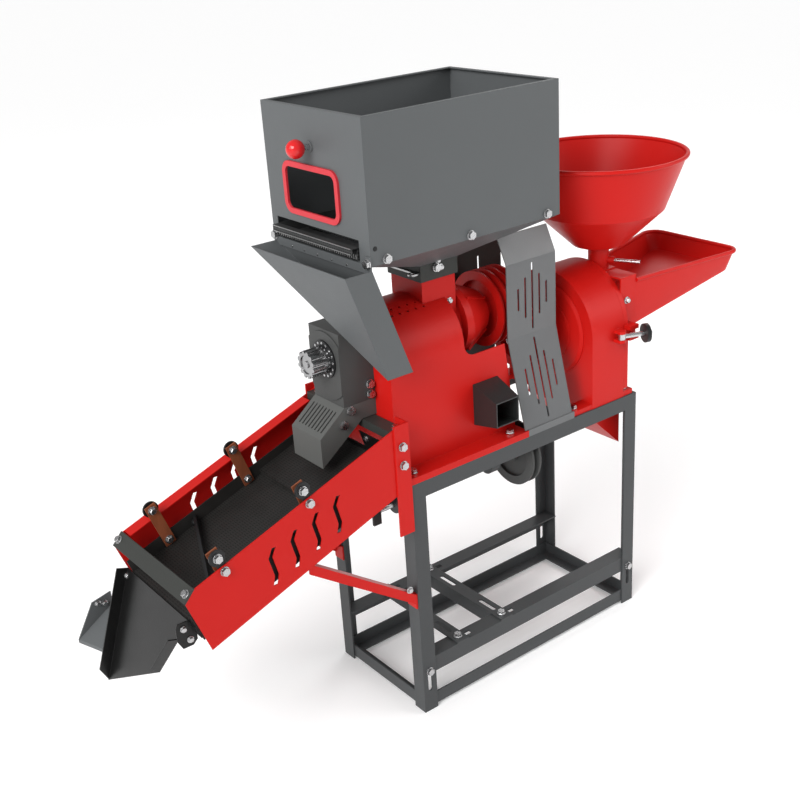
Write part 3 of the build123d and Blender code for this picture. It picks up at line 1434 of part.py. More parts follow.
def make_shaker_fork():
    """Two arms under the rear of the tray that straddle the eccentric."""
    gap = eccentric_radius + eccentric_offset + shake_travel + seat_gap
    x0 = drive_front_x
    x1 = drive_front_x + eccentric_width
    arms = None
    for side in (-1, 1):
        inner = drive_y + side * gap
        outer = drive_y + side * (gap + fork_arm_thickness)
        low = drive_z - eccentric_radius - 2 * eccentric_offset
        top = trough_point(tray_rear_u, 0, upper_deck_w - sheet)[2] - leg_width / 2
        outline = [(x1, low), (x1, top + leg_width / 4), (x0 - leg_width, top - leg_width / 4), (x0, drive_z), (x0, low)]
        arm = prism_xz(outline, min(inner, outer), max(inner, outer))
        arms = arm if arms is None else arms + arm
    deck = prism_xz([trough_uw(tray_rear_u, upper_deck_w - sheet), trough_uw(-3 * leg_width, upper_deck_w - sheet),
                     trough_uw(-3 * leg_width, 0), trough_uw(tray_rear_u, 0)],
                    drive_y - gap - fork_arm_thickness, drive_y + gap + fork_arm_thickness)
    fill = prism_xz([(x1, drive_z), (x1, table_height + 2 * leg_width), (x0 - leg_width, table_height + 2 * leg_width),
                     (x0 - leg_width, table_height - leg_width), (x0, drive_z)],
                    drive_y - gap - fork_arm_thickness, drive_y + gap + fork_arm_thickness)
    slot = block(x0 - 2 * leg_width, x1 + overrun, drive_y - gap, drive_y + gap, 0, hopper_top)
    return arms + ((deck & fill) - slot)


def make_deflector_bar():
    """Bar that stands on the screen and runs across it at a slant."""
    y_far = tray_far_wall - sheet - seat_gap
    y_near = tray_near_wall + sheet + seat_gap
    run = deflector_near_u - deflector_far_u
    across = y_near - y_far
    length = math.hypot(run, across)
    side = (-across / length * deflector_thickness, run / length * deflector_thickness)
    corners = [(deflector_far_u, y_far), (deflector_near_u, y_near),
               (deflector_near_u + side[0], y_near + side[1]), (deflector_far_u + side[0], y_far + side[1])]
    face = Face(Wire.make_polygon([(u, y, screen_w) for u, y in corners]))
    body = extrude(face, amount=deflector_height, dir=(0, 0, 1))
    body &= block(panel_front_u, 0, y_near, y_far, 0, panel_height)
    return trough_frame * body


end_chute_top = trough_point(tray_front_u, 0, screen_w)


def make_end_chute():
    """Steep channel from the screen's front edge, its exit cut on the skew."""
    x0, _, z0 = end_chute_top
    length = math.hypot(end_chute_lean, end_chute_drop)
    down = (-end_chute_lean / length, -end_chute_drop / length)
    out = (down[1], -down[0])

    def at(run, y, off):
        return Vector(x0 + run * down[0] + off * out[0], y, z0 + run * down[1] + off * out[1])

    def panel(corners, direction):
        return extrude(Face(Wire.make_polygon(corners)), amount=sheet, dir=direction)

    near_run = length * end_chute_near_drop_share
    far_y = end_chute_far_y
    body = panel([at(0, far_y, 0), at(length, far_y, 0), at(near_run, end_chute_exit_y, 0),
                  at(0, end_chute_near_y, 0)], (out[0], 0, out[1]))
    body += panel([at(0, far_y, 0), at(length, far_y, 0), at(length - end_chute_far_wall, far_y, end_chute_far_wall),
                   at(0, far_y, end_chute_far_wall)], (0, -1, 0))
    top = at(0, end_chute_near_y, 0)
    corner = at(near_run, end_chute_exit_y, 0)
    edge = corner - top
    rise = Vector(out[0], 0, out[1]) * end_chute_near_wall
    start = top + edge * end_chute_near_wall_start_share
    inward = edge.cross(rise).normalized()
    inward = inward * math.copysign(1, inward.Y)
    body += panel([start, corner, corner + rise - edge.normalized() * end_chute_near_wall / 2, start + rise], inward)
    flange = block(tray_front_u - sheet, tray_front_u, tray_near_wall, tray_far_wall, pan_w + sheet, screen_w)
    cheek_y = end_chute_near_y - sheet / 2
    high = z0 + end_chute_cheek_corner / 2
    low = z0 - end_chute_cheek_height
    rear_x = x0 + end_chute_cheek_corner
    front_x = rear_x - end_chute_cheek_width
    cheek = prism_xz([(rear_x, high), (rear_x, low + end_chute_cheek_corner), (rear_x - end_chute_cheek_corner, low),
                      (front_x + end_chute_cheek_corner, low), (front_x, low + 2 * end_chute_cheek_corner),
                      (front_x, high - end_chute_cheek_corner), (front_x + end_chute_cheek_corner / 2, high)],
                     cheek_y, cheek_y + sheet)
    cheek -= trough_frame * block(tray_front_u, tray_rear_u, 0, tray_far_wall, 0, panel_height)
    return body + trough_frame * flange + cheek


def make_side_chute():
    """Small chute on the end chute's far wall that takes what falls through the screen."""
    seat_y = end_chute_far_y
    turn = math.radians(side_chute_skew)
    near = Vector(side_chute_lip_x, seat_y, side_chute_lip_z)
    far = near + Vector(-math.sin(turn), math.cos(turn), 0) * side_chute_width
    back = Vector(side_chute_run, 0, side_chute_rise)
    floor = Face(Wire.make_polygon([near, far, far + back, near + back]))
    body = extrude(floor, amount=sheet, dir=(0, 0, -1))
    front_top = Vector(side_chute_wall_start, 0, side_chute_rise + side_chute_wall_front)
    rear_top = back + Vector(0, 0, side_chute_wall_rear)
    for corner, inward in ((far, -1), (near, 1)):
        foot = corner - Vector(0, 0, sheet)
        wall = Face(Wire.make_polygon([foot, foot + back, corner + rear_top, corner + front_top, corner]))
        body += extrude(wall, amount=sheet, dir=(0, inward, 0))
    fall = Vector(0, 0, -side_chute_lip)
    fold = Face(Wire.make_polygon([near, far, far + fall, near + fall]))
    return body + extrude(fold, amount=sheet, dir=(1, 0, 0))


def trough_bolts():
    bolts = []
    x = -leg_width / 2
    for z in (bracket_bolt_low_z, bracket_bolt_low_z + bracket_bolt_spacing):
        bolts.append(bolt((x, -angle_wall, z), (0, -1, 0)))
        bolts.append(bolt((x, stand_width + angle_wall, z), (0, 1, 0)))
    for u in spring_us():
        bolts.append(bolt(trough_point(u, 0, panel_height - bolt_head_radius - sheet), (0, -1, 0)))
        bolts.append(bolt(trough_point(u, sheet, near_pivot_w), (0, -1, 0)))
        bolts.append(bolt(trough_point(u, stand_width - far_flange_width - seat_gap, far_pivot_w), (0, 1, 0)))
    return bolts


# Shaker drive

def make_drive_shaft():
    body = rod_x(drive_shaft_radius, drive_front_x, drive_shaft_rear_x, drive_y, drive_z)
    return body + rod_x(eccentric_radius, drive_front_x, drive_front_x + eccentric_width,
                        drive_y, drive_z + eccentric_offset)


def make_drive_pulley():
    return pulley(drive_pulley_radius, drive_pulley_x, drive_pulley_width, 1, drive_shaft_radius, drive_y, drive_z)


def make_pillow_blocks():
    blocks = []
    tops = ((pillow_front_x, table_height - angle_wall), (pillow_rear_x, table_height))
    for x, top in tops:
        x1 = x + pillow_width
        body = block(x, x1, drive_y - pillow_half_depth, drive_y + pillow_half_depth, drive_z, top)
        body += rod_x(pillow_half_depth, x, x1, drive_y, drive_z)
        body -= rod_x(drive_shaft_radius + fit_gap, x - overrun, x1 + overrun, drive_y, drive_z)
        blocks.append(body)
    return group(blocks)


def make_machine_bolts():
    bolts = []
    flange_top = cover_flange_z
    y = (mill_y - cover_arch_radius) / 2
    for x in (mill_base_front_x, cover_foot_length - mill_foot_width):
        bolts.append(bolt((x, y, flange_top), (0, 0, 1)))
        bolts.append(bolt((x, 2 * mill_y - y, flange_top), (0, 0, 1)))
    rear = crusher_base_rear_x - bolt_head_radius - 3 * sheet
    front = crusher_base_front_x + bolt_head_radius + 3 * sheet
    for x in (front, rear):
        for y in (leg_width / 2 + sheet, stand_width - leg_width / 2 - sheet):
            bolts.append(bolt((x, y, table_height + crusher_base_thickness), (0, 0, 1)))
    bolts.append(bolt(((guard_front_x + guard_rear_x) / 2, guard_foot_depth / 2 + sheet, table_height + plate), (0, 0, 1)))
    for x, z in ((-bolt_head_radius - plate, head_bottom + 5 * sheet), (-bolt_head_radius - plate, head_bottom + 14 * sheet),
                 (head_front_x + 6 * sheet, head_bottom - 4 * sheet), (head_front_x - 2 * sheet, hood_rear_bottom)):
        bolts.append(bolt((x, head_near_y, z), (0, -1, 0)))
    for x in (hopper_front_x + leg_width, (hopper_front_x + hopper_rear_x) / 2, hopper_rear_x - leg_width):
        bolts.append(bolt((x, hopper_near_y, hopper_bottom + bolt_head_radius), (0, -1, 0)))
        bolts.append(bolt((x, hopper_far_y, hopper_bottom + bolt_head_radius), (0, 1, 0)))
    for y in (chute_near_y + chute_ear_width / 2, chute_ear_far_y - chute_ear_width / 2):
        bolts.append(bolt((hopper_front_x - sheet, y, chute_top + chute_ear_height / 2), (-1, 0, 0)))
    bolts.append(bolt((inlet_front_x + leg_width, gate_box_near_y, gate_box_top - bolt_head_radius - sheet), (0, -1, 0)))
    return group(bolts)


parts = {
    "stand_legs": make_legs(),
    "stand_top_frame": mitred_ring(0, stand_length, 0, stand_width, table_height - leg_width, leg_width, True),
    "stand_base_ring": mitred_ring(angle_wall, stand_length - angle_wall, angle_wall, stand_width - angle_wall,
                                   base_rail_z, base_rail_width, False),
    "motor_rails": make_motor_rails(),
    "motor_bars": make_motor_bars(),
    "stand_bolts": make_stand_bolts(),
    "mill_base": make_mill_base(),
    "mill_cover": make_mill_cover(),
    "rice_screen": make_rice_screen(),
    "shaft_bearings": make_shaft_bearings(),
    "feed_casting": make_feed_casting(),
    "inlet_block": make_inlet_block(),
    "gate_box": make_gate_box(),
    "bran_duct": make_bran_duct(),
    "outlet_head": make_outlet_head(),
    "index_ring": make_index_ring(),
    "outlet_hood": make_outlet_hood(),
    "machine_bolts": make_machine_bolts(),
    "grain_hopper": make_grain_hopper(),
    "window_frame": make_window_frame(),
    "debris_chute": make_debris_chute(),
    "belt_guard": make_belt_guard(),
    "crusher_casing": make_crusher_casing(),
    "crusher_housing": make_crusher_housing(),
    "crusher_screen": make_crusher_screen(),
    "crusher_outlet": make_crusher_outlet(),
    "trough_near_panel": make_trough_panel(0, 0, 0),
    "trough_far_panel": make_trough_panel(stand_width - sheet, panel_far_drop, far_flange_width),
    "trough_bars": make_trough_bars(),
    "trough_brackets": make_trough_brackets(),
    "trough_strut": make_trough_strut(),
    "spring_discs": make_spring_discs(),
    "pillow_blocks": make_pillow_blocks(),
    "mill_shaft": make_mill_shaft(),
    "milling_rotor": make_milling_rotor(),
    "mill_pulley": make_mill_pulley(),
    "pressure_knob": make_pressure_knob(),
    "pressure_plug": make_pressure_plug(),
    "feed_gate": make_feed_gate(),
    "hopper_sieve": make_hopper_sieve(),
    "shutter_rod": make_shutter_rod(),
    "ball_knob": make_ball_knob(),
    "crusher_shaft": make_crusher_shaft(),
    "crusher_rotor": make_crusher_rotor(),
    "crusher_pulley": make_crusher_pulley(),
    "crusher_door": make_crusher_door(),
    "feed_throat": make_feed_throat(),
    "feed_tray": make_feed_tray(),
    "funnel_hopper": make_funnel_hopper(),
    "lock_screw": make_lock_screw(),
    "swing_bolt": make_swing_bolt(),
    "hand_nut": make_hand_nut(),
    "screen_tray": make_screen_tray(),
    "deflector_bar": make_deflector_bar(),
    "end_chute": make_end_chute(),
    "side_chute": make_side_chute(),
    "leaf_springs_near": make_leaf_springs(near_leaf_y, near_pivot_w),
    "leaf_springs_far": make_leaf_springs(far_leaf_y, far_pivot_w),
    "drive_shaft": make_drive_shaft(),
    "drive_pulley": make_drive_pulley(),
}

boxes = [shape.bounding_box() for shape in parts.values()]
low = Vector(*[min(getattr(box.min, axis) for box in boxes) for axis in "XYZ"])
high = Vector(*[max(getattr(box.max, axis) for box in boxes) for axis in "XYZ"])
origin = Vector((low.X + high.X) / 2, (low.Y + high.Y) / 2, low.Z)

if __name__ == "__main__":
    os.makedirs("parts", exist_ok=True)
    for name, shape in parts.items():
        export_step(Pos(*(-origin)) * shape, f"parts/{name}.step")
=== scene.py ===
import bmesh
import bpy
import math
import numpy as np
from mathutils import Matrix, Vector


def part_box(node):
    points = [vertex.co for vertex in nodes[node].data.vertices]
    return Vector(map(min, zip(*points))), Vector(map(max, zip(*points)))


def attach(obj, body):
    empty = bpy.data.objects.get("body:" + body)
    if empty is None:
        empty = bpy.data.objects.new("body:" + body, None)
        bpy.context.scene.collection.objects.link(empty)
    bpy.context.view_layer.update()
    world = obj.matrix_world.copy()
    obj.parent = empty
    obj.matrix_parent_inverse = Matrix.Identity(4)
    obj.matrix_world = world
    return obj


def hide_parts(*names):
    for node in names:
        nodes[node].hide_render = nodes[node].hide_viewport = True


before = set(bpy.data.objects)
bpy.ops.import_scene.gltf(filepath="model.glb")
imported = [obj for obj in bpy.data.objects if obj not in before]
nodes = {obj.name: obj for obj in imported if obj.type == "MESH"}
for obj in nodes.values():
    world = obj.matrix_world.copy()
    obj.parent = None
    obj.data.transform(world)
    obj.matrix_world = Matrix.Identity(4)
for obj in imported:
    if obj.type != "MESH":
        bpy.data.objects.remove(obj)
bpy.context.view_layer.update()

datum = np.array(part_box("stand_legs")[0])  # floor point under the stand's near front leg
milli = 0.001
print("frame loaded:", len(nodes), "solids")


def place(points):
    # millimetres from the near front leg's foot, to metres in the shared frame
    return np.asarray(points, float) * milli + datum


# ---- surfaces

sharpAngle = math.radians(38)


def addMesh(name, verts, faces, material, body):
    # corner points in metres and faces by number become one piece that rides on a body
    mesh = bpy.data.meshes.new(name)
    mesh.from_pydata(np.asarray(verts, float).tolist(), [], [list(map(int, f)) for f in faces])
    work = bmesh.new()
    work.from_mesh(mesh)
    bmesh.ops.recalc_face_normals(work, faces=work.faces)
    work.to_mesh(mesh)
    work.free()
    mesh.polygons.foreach_set("use_smooth", [True] * len(mesh.polygons))
    mesh.set_sharp_from_angle(angle=sharpAngle)
    mesh.materials.append(material)
    piece = bpy.data.objects.new(name, mesh)
    bpy.context.scene.collection.objects.link(piece)
    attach(piece, body)
    return piece


def gridFaces(rows, columns):
    # four-sided faces of a grid whose points are numbered row by row, its last column joined to its first
    r = np.arange(rows - 1)
    c = np.arange(columns)
    rr, cc = np.meshgrid(r, c, indexing="ij")
    beside = (cc + 1) % columns
    row, below = rr * columns, (rr + 1) * columns
    quads = np.stack([row + cc, row + beside, below + beside, below + cc], -1)
    return quads.reshape(-1, 4).tolist()


def frameAlong(direction):
    # three unit directions, the third along the given one
    w = np.asarray(direction, float)
    w = w / np.linalg.norm(w)
    side = np.array([0.0, 0.0, 1.0]) if abs(w[2]) < 0.9 else np.array([1.0, 0.0, 0.0])
    u = np.cross(side, w)
    u = u / np.linalg.norm(u)
    return u, np.cross(w, u), w


def lathe(centre, direction, profile, sides=24, corners=0):
    # rows of (radius, height, sided) in metres turned about a line; a sided row follows a polygon, whose
    # reach is the cosine of half a corner's step over the cosine of the angle from a flat's middle
    u, v, w = frameAlong(direction)
    turn = np.linspace(0, 2 * math.pi, sides, endpoint=False)
    polygon = np.ones(sides)
    if corners:
        step = 2 * math.pi / corners
        polygon = math.cos(step / 2) / np.cos((turn % step) - step / 2)
    prof = np.asarray(profile, float)
    reach = prof[:, :1] * np.where(prof[:, 2:] > 0, polygon[None, :], 1.0)
    across = (reach * np.cos(turn))[..., None] * u + (reach * np.sin(turn))[..., None] * v
    rings = across + prof[:, 1, None, None] * w
    verts = rings.reshape(-1, 3) + np.asarray(centre, float)
    faces = gridFaces(len(prof), sides)
    last = (len(prof) - 1) * sides
    faces.append(list(range(sides - 1, -1, -1)))
    faces.append(list(range(last, last + sides)))
    return verts, faces


def sheetShape(top, under, kept=None):
    # two grids of points of the same size, one over the other; cells that aren't kept are cut out, and each
    # edge where a kept cell has no kept neighbour gets a wall between the layers
    rows, columns, _ = top.shape
    count = rows * columns
    kept = np.ones((rows - 1, columns - 1), bool) if kept is None else kept
    index = np.arange(count).reshape(rows, columns)
    a, b, c, d = index[:-1, :-1], index[:-1, 1:], index[1:, 1:], index[1:, :-1]
    quads = np.stack([a, b, c, d], -1)[kept]
    faces = [quads, quads[:, ::-1] + count]
    beside = np.pad(kept, 1)
    for neighbour, p, q in ((beside[:-2, 1:-1], a, b), (beside[1:-1, 2:], b, c),
                            (beside[2:, 1:-1], c, d), (beside[1:-1, :-2], d, a)):
        edge = kept & ~neighbour
        faces.append(np.stack([q[edge], p[edge], p[edge] + count, q[edge] + count], -1))
    used, faces = np.unique(np.concatenate(faces), return_inverse=True)
    verts = np.concatenate([top.reshape(-1, 3), under.reshape(-1, 3)])[used]
    return verts, faces.reshape(-1, 4).tolist()


def tubeShape(path, radius, sides=12):
    # a ring of points round each point of a level path, in millimetres: its sideways direction times the
    # cosine plus the vertical times the sine, times the radius
    line = np.asarray(path, float)
    ahead = np.gradient(line, axis=0)
    ahead /= np.linalg.norm(ahead, axis=1, keepdims=True)
    side = np.cross(ahead, [0, 0, 1])
    turn = np.linspace(0, 2 * math.pi, sides, endpoint=False)
    upright = np.array([0, 0, 1])
    rings = line[:, None] + radius * (np.cos(turn)[:, None] * side[:, None] + np.sin(turn)[:, None] * upright)
    faces = gridFaces(len(line), sides)
    last = (len(line) - 1) * sides
    faces += [list(range(sides - 1, -1, -1)), list(range(last, last + sides))]
    return place(rings.reshape(-1, 3)), faces


def roundedPath(corners, radius, steps=8):
    # a line through flat points, with each inner corner taken by an arc tangent to both of its runs
    points = np.asarray(corners, float)
    back = points[:-2] - points[1:-1]
    ahead = points[2:] - points[1:-1]
    back /= np.linalg.norm(back, axis=1, keepdims=True)
    ahead /= np.linalg.norm(ahead, axis=1, keepdims=True)
    half = np.arccos((back * ahead).sum(1))[:, None] / 2
    middle = (back + ahead) / np.linalg.norm(back + ahead, axis=1, keepdims=True)
    centre = points[1:-1] + middle * radius / np.sin(half)
    first = points[1:-1] + back * radius / np.tan(half) - centre
    last = points[1:-1] + ahead * radius / np.tan(half) - centre
    sweep = (math.pi - 2 * half)[:, None]
    share = np.linspace(0, 1, steps)[None, :, None]
    spokes = np.sin((1 - share) * sweep) * first[:, None] + np.sin(share * sweep) * last[:, None]
    arcs = centre[:, None] + spokes / np.sin(sweep)
    return np.concatenate([points[:1], arcs.reshape(-1, 2), points[-1:]])


def joinShapes(shapes):
    # several point-and-face shapes as one
    counts = np.cumsum([0] + [len(v) for v, _ in shapes])
    faces = [[i + int(first) for i in face] for (_, f), first in zip(shapes, counts) for face in f]
    return np.concatenate([v for v, _ in shapes]), faces


# ---- shader maths


class Sock:
    # a node socket that takes part in sums; each operator adds its Math node
    def __init__(self, tree, socket):
        self.tree = tree
        self.socket = socket

    def maths(self, operation, other=None, swap=False):
        node = self.tree.nodes.new("ShaderNodeMath")
        node.operation = operation
        for index, term in enumerate([other, self] if swap else [self, other]):
            if isinstance(term, Sock):
                self.tree.links.new(term.socket, node.inputs[index])
            elif term is not None:
                node.inputs[index].default_value = term
        return Sock(self.tree, node.outputs[0])

    def __add__(self, other): return self.maths("ADD", other)
    def __radd__(self, other): return self.maths("ADD", other, swap=True)
    def __sub__(self, other): return self.maths("SUBTRACT", other)
    def __rsub__(self, other): return self.maths("SUBTRACT", other, swap=True)
    def __mul__(self, other): return self.maths("MULTIPLY", other)
    def __rmul__(self, other): return self.maths("MULTIPLY", other, swap=True)
    def above(self, other): return self.maths("GREATER_THAN", other)
    def clamped(self): return self.maths("MAXIMUM", 0.0).maths("MINIMUM", 1.0)


class Finish:
    # one material: its tree, its shader and a method that adds any node
    def __init__(self, name, colour, **settings):
        self.material = bpy.data.materials.new(name)
        self.material.use_nodes = True
        self.material.diffuse_color = (*colour, 1)
        self.tree = self.material.node_tree
        self.shader = self.tree.nodes["Principled BSDF"]
        self.shader.inputs["Base Color"].default_value = (*colour, 1)
        for key, value in settings.items():
            self.shader.inputs[key.replace("_", " ")].default_value = value
        self.coords = self.node("ShaderNodeTexCoord", "Object")

    def node(self, kind, output=0, settings=None, **links):
        # a node by its type: settings first, then a value or a link for each socket, by name or as i and
        # its number
        node = self.tree.nodes.new(kind)
        for key, value in (settings or {}).items():
            setattr(node, key, value)
        for key, value in links.items():
            socket = node.inputs[int(key[1:])] if key[0] == "i" and key[1:].isdigit() else node.inputs[key]
            if isinstance(value, Sock):
                self.tree.links.new(value.socket, socket)
            else:
                socket.default_value = value
        return Sock(self.tree, node.outputs[output])

    def noise(self, scale, detail=3.0, stretch=(1, 1, 1), roughness=0.5):
        where = self.node("ShaderNodeMapping", i0=self.coords, i3=stretch)
        return self.node("ShaderNodeTexNoise", "Fac",
                         Vector=where, Scale=scale, Detail=detail, Roughness=roughness)

    def mix(self, factor, a, b):
        a, b = [c if isinstance(c, Sock) else (*c, 1) for c in (a, b)]
        return self.node("ShaderNodeMix", 2, {"data_type": "RGBA"}, i0=factor, i6=a, i7=b)

    def vector(self, operation, a, b=None):
        links = {"i0": a} if b is None else {"i0": a, "i1": b}
        return self.node("ShaderNodeVectorMath", 0, {"operation": operation}, **links)

    def feed(self, name, value):
        self.tree.links.new(value.socket, self.shader.inputs[name])

    def bump(self, height, distance, strength, edge):
        # relief on top of edges rounded by the given radius
        edges = self.node("ShaderNodeBevel", settings={"samples": 4}, Radius=edge)
        relief = self.node("ShaderNodeBump",
                           Height=height, Distance=distance, Strength=strength, Normal=edges)
        self.feed("Normal", relief)


def shade(colour, factor):
    # the same hue, lighter or darker
    return tuple(min(1.0, c * factor) for c in colour)


paintLook = {
    "drift": 4.0, "cloud": 38.0, "peel": 420.0, "ripple": 60.0, "rippleShare": 0.35, "strength": 0.3,
    "dark": 0.92, "light": 1.08, "dustLight": 1.9, "dustContrast": 3.0, "glossDrop": 0.04, "glossSpread": 0.1,
}


def paint(name, colour, gloss, level, peel=0.0005, edge=0.0008, dust=0.0):
    # sprayed paint: a slow drift of shade, fine orange peel, and dust that settles in patches
    look = paintLook
    f = Finish(name, colour, Roughness=gloss, Specular_IOR_Level=level)
    drift = f.noise(look["drift"], 2.0)
    cloud = f.noise(look["cloud"], 4.0)
    tone = f.mix(drift, shade(colour, look["dark"]), shade(colour, look["light"]))
    if dust:
        patch = ((cloud - 0.5) * look["dustContrast"]).clamped() * dust
        tone = f.mix(patch, tone, shade(colour, look["dustLight"]))
    f.feed("Base Color", tone)
    f.feed("Roughness", gloss - look["glossDrop"] + cloud * look["glossSpread"])
    relief = f.noise(look["peel"], 2.0) + look["rippleShare"] * f.noise(look["ripple"], 2.0)
    f.bump(relief, peel, look["strength"], edge)
    return f.material


metalLook = {
    "grain": 260.0, "cloud": 30.0, "light": 1.08, "roughDrop": 0.08, "grainRough": 0.16, "cloudRough": 0.06,
    "strength": 0.3, "edge": 0.0004,
}


def metal(name, colour, rough, grain, stretch, tarnish=0.8):
    # bare metal: long brushed grain in one direction over a faint cloud of tarnish
    look = metalLook
    f = Finish(name, colour, Metallic=1.0, Roughness=rough)
    brushed = f.noise(look["grain"], 4.0, stretch, 0.6)
    cloud = f.noise(look["cloud"], 3.0)
    f.feed("Base Color", f.mix(cloud, shade(colour, tarnish), shade(colour, look["light"])))
    f.feed("Roughness", rough - look["roughDrop"] + look["grainRough"] * brushed + look["cloudRough"] * cloud)
    f.bump(brushed, grain, look["strength"], look["edge"])
    return f.material


laminateLook = {
    "fibre": 90.0, "squeeze": (1.0, 1.0, 0.12), "layers": 620.0, "waver": 0.6, "dark": 0.6, "light": 1.45,
    "glue": 0.35, "glueShare": 0.25, "gloss": 0.34, "glossSpread": 0.2, "relief": 0.0006, "strength": 0.3,
    "edge": 0.0004,
}


def laminate(name, colour):
    # pressed spring board: fibre along the blade and glued layers across its thickness
    look = laminateLook
    f = Finish(name, colour, Roughness=0.42, Specular_IOR_Level=0.3)
    fibre = f.noise(look["fibre"], 5.0, look["squeeze"], 0.65)
    layers = f.node("ShaderNodeTexWave", "Fac", {"bands_direction": "Y"},
                    Vector=f.coords, Scale=look["layers"], Distortion=look["waver"])
    tone = f.mix(fibre, shade(colour, look["dark"]), shade(colour, look["light"]))
    f.feed("Base Color", f.mix(layers * look["glueShare"], tone, shade(colour, look["glue"])))
    f.feed("Roughness", look["gloss"] + look["glossSpread"] * fibre)
    f.bump(fibre, look["relief"], look["strength"], look["edge"])
    return f.material


castLook = {
    "grain": 230.0, "dark": 0.5, "light": 1.3, "gloss": 0.5, "glossSpread": 0.25, "relief": 0.0012,
    "strength": 0.6, "edge": 0.0008,
}


def castSkin(name, colour):
    # sand-cast surface: coarse grain with darker pores
    look = castLook
    f = Finish(name, colour, Metallic=0.7, Roughness=0.6)
    grain = f.noise(look["grain"], 6.0, roughness=0.7)
    f.feed("Base Color", f.mix(grain, shade(colour, look["dark"]), shade(colour, look["light"])))
    f.feed("Roughness", look["gloss"] + look["glossSpread"] * grain)
    f.bump(grain, look["relief"], look["strength"], look["edge"])
    return f.material


plasticLook = {
    "cloud": 24.0, "grain": 520.0, "dark": 0.9, "light": 1.08, "glossSpread": 0.06, "relief": 0.0002,
    "strength": 0.3, "edge": 0.0005,
}


def plastic(name, colour, gloss, level):
    # moulded plastic: near even colour, a fine mould grain, a soft gloss
    look = plasticLook
    f = Finish(name, colour, Roughness=gloss, Specular_IOR_Level=level)
    cloud = f.noise(look["cloud"], 2.0)
    f.feed("Base Color", f.mix(cloud, shade(colour, look["dark"]), shade(colour, look["light"])))
    grain = f.noise(look["grain"], 2.0)
    f.feed("Roughness", gloss + look["glossSpread"] * grain)
    f.bump(grain, look["relief"], look["strength"], look["edge"])
    return f.material


perforatedLook = {
    # hole and holeShadeShare set how dark and how strong the painted shade in the holes is
    "cloud": 26.0, "dark": 0.7, "light": 1.5, "hole": 0.12, "holeShadeShare": 0.85, "gloss": 0.42,
    "glossSpread": 0.22, "relief": 0.0006, "strength": 0.5, "edge": 0.0006,
}


def perforated(name, colour, turn, pitch, hole):
    # punched plate: cells repeat at the pitch in two directions, and a place gets painted shade, standing in
    # for the dark seen through a hole, where its distance from its cell's middle is less than the hole's
    # share in both
    look = perforatedLook
    f = Finish(name, colour, Roughness=0.5, Specular_IOR_Level=0.3)
    level = f.node("ShaderNodeMapping", i0=f.coords, i2=turn)
    cell = f.vector("FRACTION", f.vector("MULTIPLY", level, tuple(1.0 / p if p else 0.0 for p in pitch)))
    offset = f.vector("ABSOLUTE", f.vector("SUBTRACT", cell, tuple(0.5 if p else 0.0 for p in pitch)))
    parts = [f.node("ShaderNodeSeparateXYZ", axis, i0=offset) for axis, p in enumerate(pitch) if p]
    holes = (hole[0] - parts[0]).above(0.0) * (hole[1] - parts[1]).above(0.0)
    cloud = f.noise(look["cloud"], 4.0)
    plate = f.mix(cloud, shade(colour, look["dark"]), shade(colour, look["light"]))
    # the holes are painted near black as painted shade for the dark seen through them
    f.feed("Base Color", f.mix(holes * look["holeShadeShare"], plate, shade(colour, look["hole"])))
    f.feed("Roughness", look["gloss"] + look["glossSpread"] * cloud)
    f.bump(1.0 - holes, look["relief"], look["strength"], look["edge"])
    return f.material


slope = math.radians(19.0)  # the screen's fall towards its low end

finishes = {
    "redEnamel": paint("red_enamel", (0.52, 0.0095, 0.007), 0.36, 0.15, 0.0004),
    "greyCoat": paint("grey_powder_coat", (0.098, 0.104, 0.107), 0.46, 0.22),
    "hoodCoat": paint("hood_grey_coat", (0.098, 0.1, 0.096), 0.5, 0.2),
    # the outlet head's grey is the grey coat at about half brightness, painted shade for the chute's shadow
    # on it; the drive pulley takes it as its own dark paint
    "headShadeAndPulleyCoat": paint("head_shade_and_pulley_grey", (0.055, 0.056, 0.055), 0.48, 0.2),
    "guardCoat": paint("guard_grey_coat", (0.1, 0.104, 0.107), 0.34, 0.6),
    # the dark bar coat is the bars' and gate box's own paint, and painted shade on the far guard panel
    "barCoatAndGuardShade": paint("bar_coat_and_guard_shade", (0.036, 0.038, 0.035), 0.46, 0.22),
    "standCoat": paint("stand_grey_coat", (0.052, 0.055, 0.057), 0.42, 0.26),
    "blackCoat": paint("black_coat", (0.010, 0.0105, 0.011), 0.36, 0.32, dust=0.2),
    "ductCoat": paint("duct_black_coat", (0.02, 0.021, 0.021), 0.32, 0.42, edge=0.0014),
    "chuteCoat": paint("chute_black_coat", (0.0055, 0.0055, 0.0055), 0.3, 0.3, edge=0.0012),
    "deckPlate": perforated("screen_deck", (0.017, 0.016, 0.015), (0.0, slope, 0.0),
                            (0.0043, 0.009, 0), (0.2, 0.34)),
    "sievePlate": perforated("sieve_plate", (0.03, 0.031, 0.031), (0.0, 0.0, 0.0),
                             (0, 0.006, 0.006), (0.28, 0.28)),
    "framePlastic": plastic("frame_plastic", (0.54, 0.028, 0.04), 0.34, 0.3),
    "ballPlastic": plastic("ball_plastic", (0.62, 0.012, 0.014), 0.12, 0.45),
    "bareSteel": metal("bare_steel", (0.5, 0.5, 0.5), 0.38, 0.0005, (0.06, 1, 1)),
    "turnedSteel": metal("turned_steel", (0.6, 0.6, 0.61), 0.24, 0.0003, (1, 0.08, 0.08)),
    "brightPlate": metal("bright_plate", (0.5, 0.5, 0.505), 0.24, 0.0002, (1, 1, 1), 0.85),
    "knobChrome": metal("knob_chrome", (0.38, 0.38, 0.385), 0.2, 0.0001, (1, 1, 1), 0.85),
    "castIron": castSkin("cast_iron", (0.16, 0.16, 0.165)),
    "springBoard": laminate("spring_board", (0.24, 0.07, 0.03)),
}
print("finishes made")

